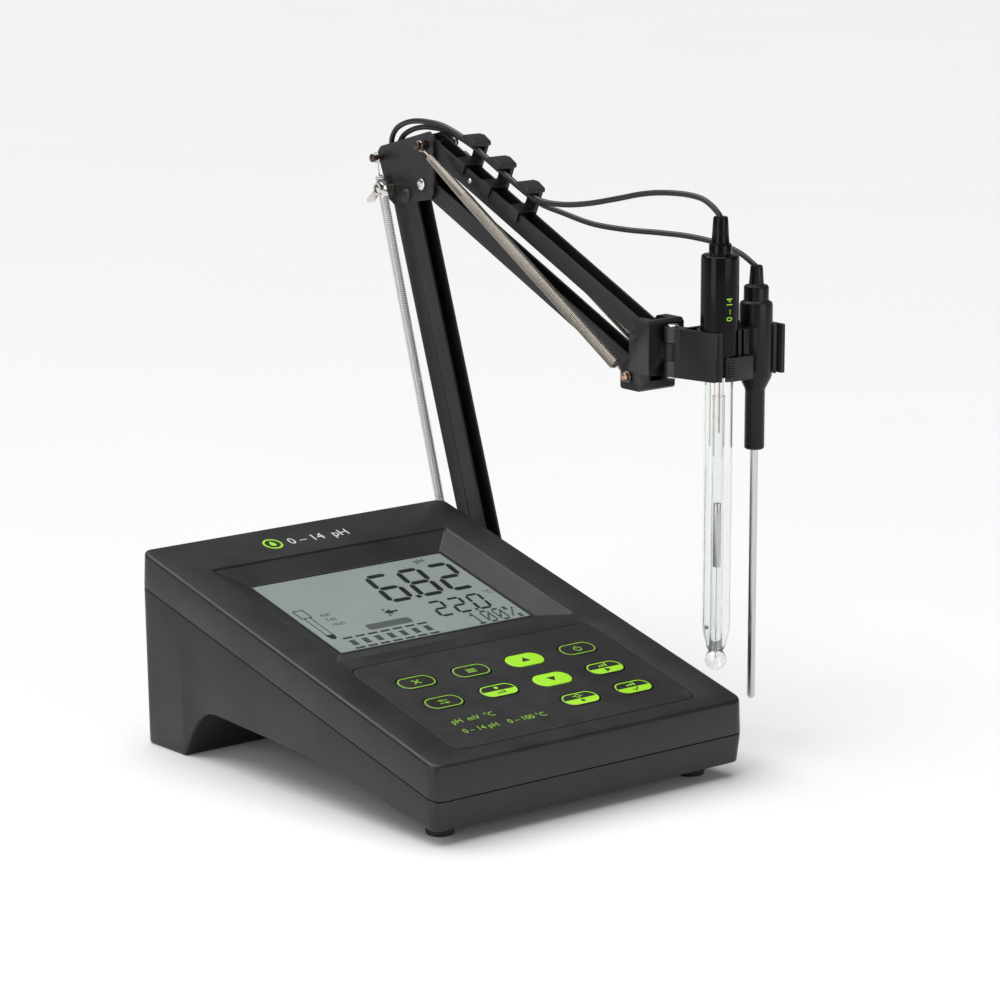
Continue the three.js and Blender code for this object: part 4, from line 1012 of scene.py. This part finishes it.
def make_prints():
    right, up = (1, 0, 0), (0, COS, SIN)
    words("panel_scale", "pH  mV  °C", 5.2, panel(-57.5, 31.6, -0.08), right, up, LIME_SOFT,
          "meter")
    words("panel_range", "0 – 14 pH    0 – 100 °C", 5.0, panel(-57.5, 22.6, -0.08),
          right, up, LIME_SOFT, "meter")
    words("panel_title", "0 – 14  pH", 8.4, panel(-16.4, 214.3, 0.02), right, up, WHITE_INK,
          "meter")
    u, v = -25.4, 217.4
    marks = arc(u, v, 4.6, 0, 360, 1.1, 40)
    drop = [(u, v + 3.0), (u + 1.3, v + 0.7), (u + 1.7, v - 0.6), (u + 1.2, v - 1.7), (u, v - 2.2),
            (u - 1.2, v - 1.7), (u - 1.7, v - 0.6), (u - 1.3, v + 0.7)]
    place("panel_droplet", *combined(*[on_panel(m, 0.0, 0.05) for m in marks + [drop]]), LIME,
          "meter", slot="key_green")


make_prints()


# ---------------------------------------------------------------- rear sockets and plugs
def make_rear():
    y = BAY_FACE + 0.3
    bnc = [(0, y - 9), (4.5, y - 9), (4.5, y), (6.6, y), (6.6, y + 1.4), (6.3, y + 1.6),
           (4.8, y + 1.6), (4.8, y + 9.2), (4.5, y + 9.5), (4.1, y + 9.5), (4.1, y + 4), (1, y + 4),
           (1, y + 7.8), (0.8, y + 8), (0, y + 8)]
    place("bnc_socket_finished", *turned(bnc, (BNC[0], 0, BNC[1]), "y"), BRIGHT, "meter",
          ["bnc_socket"], "nickel")
    rca = [(0, y - 7), (3.9, y - 7), (3.9, y), (5.6, y), (5.6, y + 1.2), (5.4, y + 1.4),
           (4.1, y + 1.4), (4.1, y + 7.8), (3.9, y + 8), (1.7, y + 8), (1.7, y + 1), (0, y + 1)]
    place("temperature_socket_finished", *turned(rca, (RCA[0], 0, RCA[1]), "y"), BRIGHT, "meter",
          ["temperature_socket"], "nickel")
    refined("power_jack", MOULDED, "meter", 0.3)
    start = y + 2.2
    end = start + 30
    body = [(5.2, start), (6.9, start), (7.2, start + 0.4), (7.2, start + 10.6), (6.8, start + 11),
            (5.6, start + 12), (5.6, start + 20), (5.2, start + 20.6)]
    for k in range(5):
        r = 4.6 - k * 0.55
        body += [(r, start + 20.8 + k * 1.8), (r, start + 21.9 + k * 1.8),
                 (r - 0.5, start + 22.0 + k * 1.8), (r - 0.5, start + 22.4 + k * 1.8)]
    body += [(1.5, end - 0.2), (0, end - 0.2), (0, start + 8.4), (5.2, start + 8.4), (5.2, start)]
    place("ph_plug_body", *turned(body, (BNC[0], 0, BNC[1]), "y", 40), BRIGHT, "meter",
          ["ph_plug"], "nickel", angle=28)
    grips = []
    for k in range(20):
        a = 2 * math.pi * k / 20
        x, z = BNC[0] + 7.1 * math.cos(a), BNC[1] + 7.1 * math.sin(a)
        grips.append(turned([(0, start + 1.4), (0.45, start + 1.8), (0.45, start + 9.4),
                             (0, start + 9.8)], (x, 0, z), "y", 8))
    place("ph_plug_grip", *combined(*grips), BRIGHT, "meter", slot="nickel")
    start = y + 2.0
    end = start + 28
    body = [(4.5, start), (5.3, start), (5.6, start + 0.4), (5.6, start + 10.8), (4.2, start + 12),
            (4.2, start + 19.6)]
    for k in range(4):
        r = 3.9 - k * 0.5
        body += [(r, start + 20 + k * 1.9), (r, start + 21.2 + k * 1.9),
                 (r - 0.45, start + 21.3 + k * 1.9), (r - 0.45, start + 21.8 + k * 1.9)]
    body += [(1.5, end - 0.2), (0, end - 0.2), (0, start + 8.4), (4.5, start + 8.4), (4.5, start)]
    place("temperature_plug_body", *turned(body, (RCA[0], 0, RCA[1]), "y", 40), SATIN, "meter",
          ["temperature_plug"], "case", angle=28)


make_rear()


# ---------------------------------------------------------------- the arm
def make_arm():
    refined("base_plate", STEEL, "meter", 0.25)
    refined("base_plate_screw", STEEL, "meter", 0.15)
    refined("arm_base", MOULDED, "turning_base", 0.5)
    refined("lower_rear_bar", PAINT, "lower_rear_link", 0.28)
    refined("lower_front_bar", PAINT, "lower_front_link", 0.28)
    refined("elbow_bracket", PAINT, "elbow", 0.35)
    refined("upper_top_bar", PAINT, "upper_top_link", 0.28)
    refined("upper_bottom_bar", PAINT, "upper_bottom_link", 0.28)
    for k in (1, 2, 3):
        refined(f"lead_clip_{k}", MOULDED, "upper_top_link", 0.3)
    refined("head_block", MOULDED, "head", 0.55, segments=3)
    refined("electrode_holder", MOULDED, "holder", 0.35)
    for side, body in (("left", "left_nut"), ("right", "right_nut")):
        refined(f"wing_nut_{side}", BRIGHT, body, 0.3, segments=3)


make_arm()


def rivet(node, half, shaft, head, thick, y, z, body, material, slot, dome=0.7):
    """A pin across the arm with a rounded head at each end."""
    profile = [(0, -half)]
    profile += [(head * math.sin(a), -half + dome * (1 - math.cos(a)))
                for a in (math.pi / 2 * k / 6 for k in range(1, 7))]
    profile += [(head, -half + thick), (shaft, -half + thick)]
    profile += [(r, -h) for r, h in profile[::-1]]
    place(node + "_finished", *turned(profile, (ARM_X, y, z), "x", 32), material, body, [node],
          slot, angle=40)


def make_pins():
    rivet("base_rear_pin", 8.2, 2.0, 3.0, 0.7, *BASE_REAR, "turning_base", STEEL, "steel")
    rivet("elbow_bolt", 16.8, 2.0, 1.9, 0.6, *REAR_TOP_PIN, "elbow", BRIGHT, "steel", 0.5)
    rivet("spring_axle", 13.4, 1.5, 2.2, 1.0, *SPRING_AXLE, "elbow", BROWN, "steel", 0.7)
    rivet("upper_spring_pin", 13.4, 1.7, 2.0, 1.0, *ELBOW_TOP, "elbow", BROWN, "steel", 0.7)
    rivet("elbow_lower_pin", 7.8, 2.0, 2.9, 0.8, *ELBOW_LOW, "elbow", BRIGHT, "steel", 0.6)
    rivet("head_top_pin", 11.6, 2.0, 2.6, 0.6, *HEAD_TOP_PIN, "head", PAINT, "steel", 0.5)
    rivet("head_spring_pin", 14.9, 1.7, 2.1, 0.9, *HEAD_LOW_PIN, "head", COPPER, "steel", 0.7)
    for side in (-1, 1):
        profile = [(0, 0), (2.0, 0), (3.4, 0.25), (3.1, 0.9), (2.0, 1.6), (0.8, 1.9), (0, 1.95)]
        x = ARM_X + side * 6.75
        name = f"front_pivot_rivet_{'left' if side < 0 else 'right'}"
        place(name, *turned([(r, side * h) for r, h in profile], (x, *FRONT_TOP_PIN), "x", 32),
              PAINT, "elbow", slot="steel", angle=50)
    y, z = along(ELBOW_TOP, UPPER_TURN, 36)
    for side in (-1, 1):
        name = f"bar_rivet_{'left' if side < 0 else 'right'}"
        x = ARM_X + side * 4.72
        profile = [(0, 0), (1.3, 0), (1.2, 0.35), (0.7, 0.65), (0, 0.75)]
        place(name, *turned([(r, side * h) for r, h in profile], (x, y, z), "x", 24), BRIGHT,
              "upper_top_link", slot="steel", angle=50)


make_pins()


# ---------------------------------------------------------------- springs
def spring(name, start, end, coil_r, wire_r, pitch, material, node, bodies, turn=0.0,
           taper=0.0):
    """A close-wound spring between two hooks, in two lengths; a length with one body is hung on it, and a
    length between two bodies stays where it is.
    """
    a, b = Vector(start), Vector(end)
    axis = (b - a).normalized()
    across = axis.cross(Vector((1, 0, 0))).normalized()
    up = axis.cross(across)
    total = (b - a).length
    hook = 9.0
    path = []
    for k in range(13):
        angle = math.radians(-60 + 300 * k / 12)
        path.append(a + across * 2.4 * math.sin(angle) - axis * 2.4 * math.cos(angle))
    path.append(a + axis * 5.0)
    first, last = hook, total - hook
    count = round((last - first) / pitch)
    steps = 12
    radius = coil_r - wire_r
    for k in range(count * steps + 1):
        angle = 2 * math.pi * k / steps + turn
        ease = min(1.0, k / steps + 0.15, (count * steps - k) / steps + 0.15)
        if taper:
            ease *= min(1.0, taper + (1 - taper) * k / (count * steps * 0.22))
        path.append(a + axis * (first + (last - first) * k / (count * steps))
                    + (across * math.cos(angle) + up * math.sin(angle)) * radius * ease)
    path.append(b - axis * 5.0)
    for k in range(13):
        angle = math.radians(240 - 300 * k / 12)
        path.append(b + across * 2.4 * math.sin(angle) + axis * 2.4 * math.cos(angle))
    middle = len(path) // 2
    for part, points, pair in (("low", path[:middle + 1], bodies[0]),
                               ("high", path[middle:], bodies[1])):
        verts, faces = tube([at(*p) for p in points], wire_r * MM, 6)
        piece = place(f"{name}_{part}", verts, faces, material, convert=False, angle=60)
        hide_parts(node)
        if len(pair) == 1:
            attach(piece, pair[0])
        elif part == "low":
            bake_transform(piece)
        else:
            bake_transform(piece)


def make_springs():
    for side, word in ((-1, "left"), (1, "right")):
        x = ARM_X + side * 10
        spring(f"lower_coil_{word}", (x, *BASE_HOOK), (x, *SPRING_AXLE), 2.6, 0.42, 1.02, PALE_WIRE,
               f"lower_spring_{word}",
               [["turning_base", "lower_rear_link"], ["lower_rear_link", "elbow"]])
        spring(f"upper_coil_{word}", (ARM_X + side * 10.8, *ELBOW_TOP),
               (ARM_X + side * 12.4, *HEAD_LOW_PIN), 3.0, 0.45, 1.0, WARM_WIRE,
               f"upper_spring_{word}", [["upper_top_link"], ["upper_top_link", "head"]], taper=0.62)


make_springs()


# ---------------------------------------------------------------- head and holder details
def make_head_details():
    teeth = []
    for k in range(7):
        z = 180.2 + k * 1.25
        teeth.append(pushed([(116.4, -73.4), (120.4, -73.9), (120.4, -72.6), (116.4, -71.6)], "z",
                            z, z + 0.65))
    place("jaw_teeth", *combined(*teeth), MOULDED, "holder", slot="holder", bevel=0.12)
    profile = [(0, 177.3), (2.5, 177.3), (2.8, 177.6), (2.8, 178), (1.7, 178), (1.7, 202.1),
               (2.6, 202.1), (2.6, 202.7), (2.2, 203), (0, 203)]
    place("holder_pin_finished", *turned(profile, (*HOLDER_AXIS, 0), "z", 32), STEEL, "holder",
          ["holder_pin"], "steel")


make_head_details()


# ---------------------------------------------------------------- electrodes
def ribbed(r0, r1, z0, z1, count):
    """A tapering boot with shallow grooves."""
    out = []
    for k in range(count):
        t0, t1 = k / count, (k + 0.72) / count
        for t, cut in ((t0, 0), (t1, 0), (t1 + 0.03 / count, 0.22), ((k + 0.97) / count, 0.22)):
            out.append((r0 + (r1 - r0) * t - cut, z0 + (z1 - z0) * t))
    return out


def make_ph_electrode():
    x = PH_X
    cap = [(7.2, 180.0), (8.8, 180.0), (9.1, 180.3), (9.1, 185.6), (8.95, 185.8), (8.95, 186.3),
           (9.1, 186.5), (9.1, 235.8), (8.9, 236.9), (8.3, 237.5), (5.9, 237.7), (5.5, 238.0),
           (5.4, 238.6), (5.4, 242.0), (5.1, 242.6), (4.5, 242.8)]
    cap += [(4.3, 243.2), (4.0, 247.0), (3.8, 251.0), (3.5, 254.8), (3.2, 255.4), (1.7, 255.5),
            (1.7, 250.0), (0, 250.0), (0, 203), (7.2, 203), (7.2, 180.0)]
    place("ph_cap_finished", *turned(cap, (x, ELECTRODE_Y, 0), "z", 64), GLOSS, "ph_electrode",
          ["ph_cap"], "probe_body", angle=34)
    outer = [(3.7, 46.0), (4.5, 47.6), (5.9, 52.0), (6.6, 55.6), (6.9, 59.5), (6.9, 202.6),
             (5.9, 202.6), (5.9, 59.8), (5.6, 56.0), (4.9, 52.4), (3.7, 48.4), (3.7, 46.0)]
    place("ph_glass_shaft", *turned(outer, (x, ELECTRODE_Y, 0), "z", 64), GLASS, "ph_electrode",
          ["ph_tube"], "glass", angle=50)
    bulb = [(0, 36.0)]
    bulb += [(5.3 * math.sin(a), 41.3 - 5.3 * math.cos(a))
             for a in (math.radians(d) for d in range(12, 139, 9))]
    bulb += [(3.1, 46.4), (3.1, 60.0), (3.1, 110.0), (3.1, 170.0), (2.5, 170.0), (2.5, 60.0),
             (2.5, 45.6)]
    bulb += [(4.9 * math.sin(a), 41.3 - 4.9 * math.cos(a))
             for a in (math.radians(d) for d in range(138, 11, -9))]
    bulb += [(0, 36.4)]
    place("ph_glass_bulb", *turned(bulb, (x, ELECTRODE_Y, 0), "z", 48), GLASS, "ph_electrode",
          slot="glass", angle=60)
    wires = []
    for dx, dy, z0, z1, r in ((0.0, 0.0, 42.0, 88.0, 0.22), (2.3, -0.6, 139.0, 202.0, 0.3),
                              (-2.2, 0.4, 141.0, 202.0, 0.3), (-4.4, 0.9, 146.0, 202.0, 0.35)):
        wires.append(capped([(r, z0), (r, z1)], (x + dx, ELECTRODE_Y + dy, 0), "z", 12))
    place("ph_wires", *combined(*wires), SILVER, "ph_electrode", slot="steel")
    place("ph_inner_wire", *capped([(0.42, 152), (0.42, 202)], (x + 0.5, ELECTRODE_Y, 0), "z", 12),
          COPPER, "ph_electrode", slot="steel")
    capillary = [(0, 87), (1.6, 87), (1.9, 87.6), (1.9, 117.2), (1.6, 118), (0, 118), (0, 117.5),
                 (1.4, 117.4), (1.55, 117), (1.55, 87.9), (1.4, 87.5), (0, 87.5)]
    place("ph_capillary", *turned(capillary, (x, ELECTRODE_Y, 0), "z", 24), SILVER,
          "ph_electrode", slot="glass")
    plug = capped([(1.0, 0.0), (1.0, 0.9)], (0, 0, 0), "z", 20)
    verts = [(x - 5.3 - p[2], ELECTRODE_Y + p[0], 58 + p[1]) for p in plug[0]]
    place("ph_junction", verts, plug[1], CERAMIC, "ph_electrode", slot="glass")
    words("ph_cap_scale", "0 – 14", 4.4, (x - 0.23 * 9.35 + 1.5, ELECTRODE_Y - 0.973 * 9.35 - 0.35, 207.0),
          (0.0, 0.0, 1.0), (-0.973, 0.231, 0.0), LIME, "ph_electrode")


make_ph_electrode()


def make_temperature_probe():
    x = TEMP_X
    body = [(2.2, 141.5), (4.2, 141.5), (4.8, 142.1), (4.8, 169.8), (5.0, 170.8), (7.6, 176.0),
            (8.0, 177.4), (8.0, 211.0), (7.6, 212.4), (6.5, 213.0), (6.1, 213.4), (6.0, 214.0),
            (6.0, 219.4), (5.7, 220.2), (5.2, 220.6), (4.0, 220.7), (3.6, 221.2), (3.3, 225.0),
            (3.0, 229.2), (2.6, 230.0), (1.6, 230.1), (1.6, 225.0), (0, 225.0), (0, 167.5),
            (2.2, 167.5), (2.2, 141.5)]
    place("temperature_grip_finished", *turned(body, (x, ELECTRODE_Y, 0), "z", 64), SATIN,
          "temperature_probe", ["temperature_grip"], "probe_body", angle=34)
    rod = [(0, 18), (0.7, 18.1), (1.3, 18.5), (1.75, 19.2), (1.9, 20.2), (1.9, 80), (1.9, 141),
           (1.9, 167.1), (0, 167.1)]
    place("temperature_rod_finished", *turned(rod, (x, ELECTRODE_Y, 0), "z", 40), STEEL,
          "temperature_probe", ["temperature_rod"], "steel", angle=50)


make_temperature_probe()

# ---------------------------------------------------------------- CAD nodes that stay
for node, kept in (("switch_sheet", RUBBER), ("main_board", BOARD)):
    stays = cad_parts[node]
    for material_slot in stays.material_slots:
        material_slot.material = kept


# ---------------------------------------------------------------- floor and light
def make_stage():
    mesh = bpy.data.meshes.new("floor")
    size = 9.0
    mesh.from_pydata([(-size, -size, 0), (size, -size, 0), (size, size, 0), (-size, size, 0)], [],
                     [[0, 1, 2, 3]])
    floor = bpy.data.objects.new("floor", mesh)
    bpy.context.scene.collection.objects.link(floor)
    mesh.materials.append(shader("floor", (0.86, 0.86, 0.86), 0.6, scale=6, tint=0.01))
    world = bpy.data.worlds.new("studio")
    bpy.context.scene.world = world
    world.use_nodes = True
    background = world.node_tree.nodes["Background"]
    background.inputs["Color"].default_value = (1, 1, 1, 1)
    background.inputs["Strength"].default_value = 0.2
    sun = bpy.data.lights.new("sky", "SUN")
    sun.energy, sun.angle = 3.0, math.radians(70)
    lamp = bpy.data.objects.new("sky", sun)
    lamp.rotation_euler = (math.radians(-14), math.radians(-8), 0)
    bpy.context.scene.collection.objects.link(lamp)
    for name, spot, size_x, size_y, power, color in (
            ("left", (-1500, -300, 620), 0.9, 1.1, 9, (1, 0.99, 0.98)),
            ("front", (300, -1700, 520), 1.2, 0.7, 6, (1, 1, 1))):
        data = bpy.data.lights.new(name, "AREA")
        data.shape, data.size, data.size_y = "RECTANGLE", size_x, size_y
        data.energy, data.color = power, color
        lamp = bpy.data.objects.new(name, data)
        lamp.location = at(*spot)
        aim = at(20, 0, 90) - lamp.location
        lamp.rotation_euler = aim.to_track_quat("-Z", "Y").to_euler()
        bpy.context.scene.collection.objects.link(lamp)
    bpy.context.scene.view_settings.view_transform = "Standard"


make_stage()
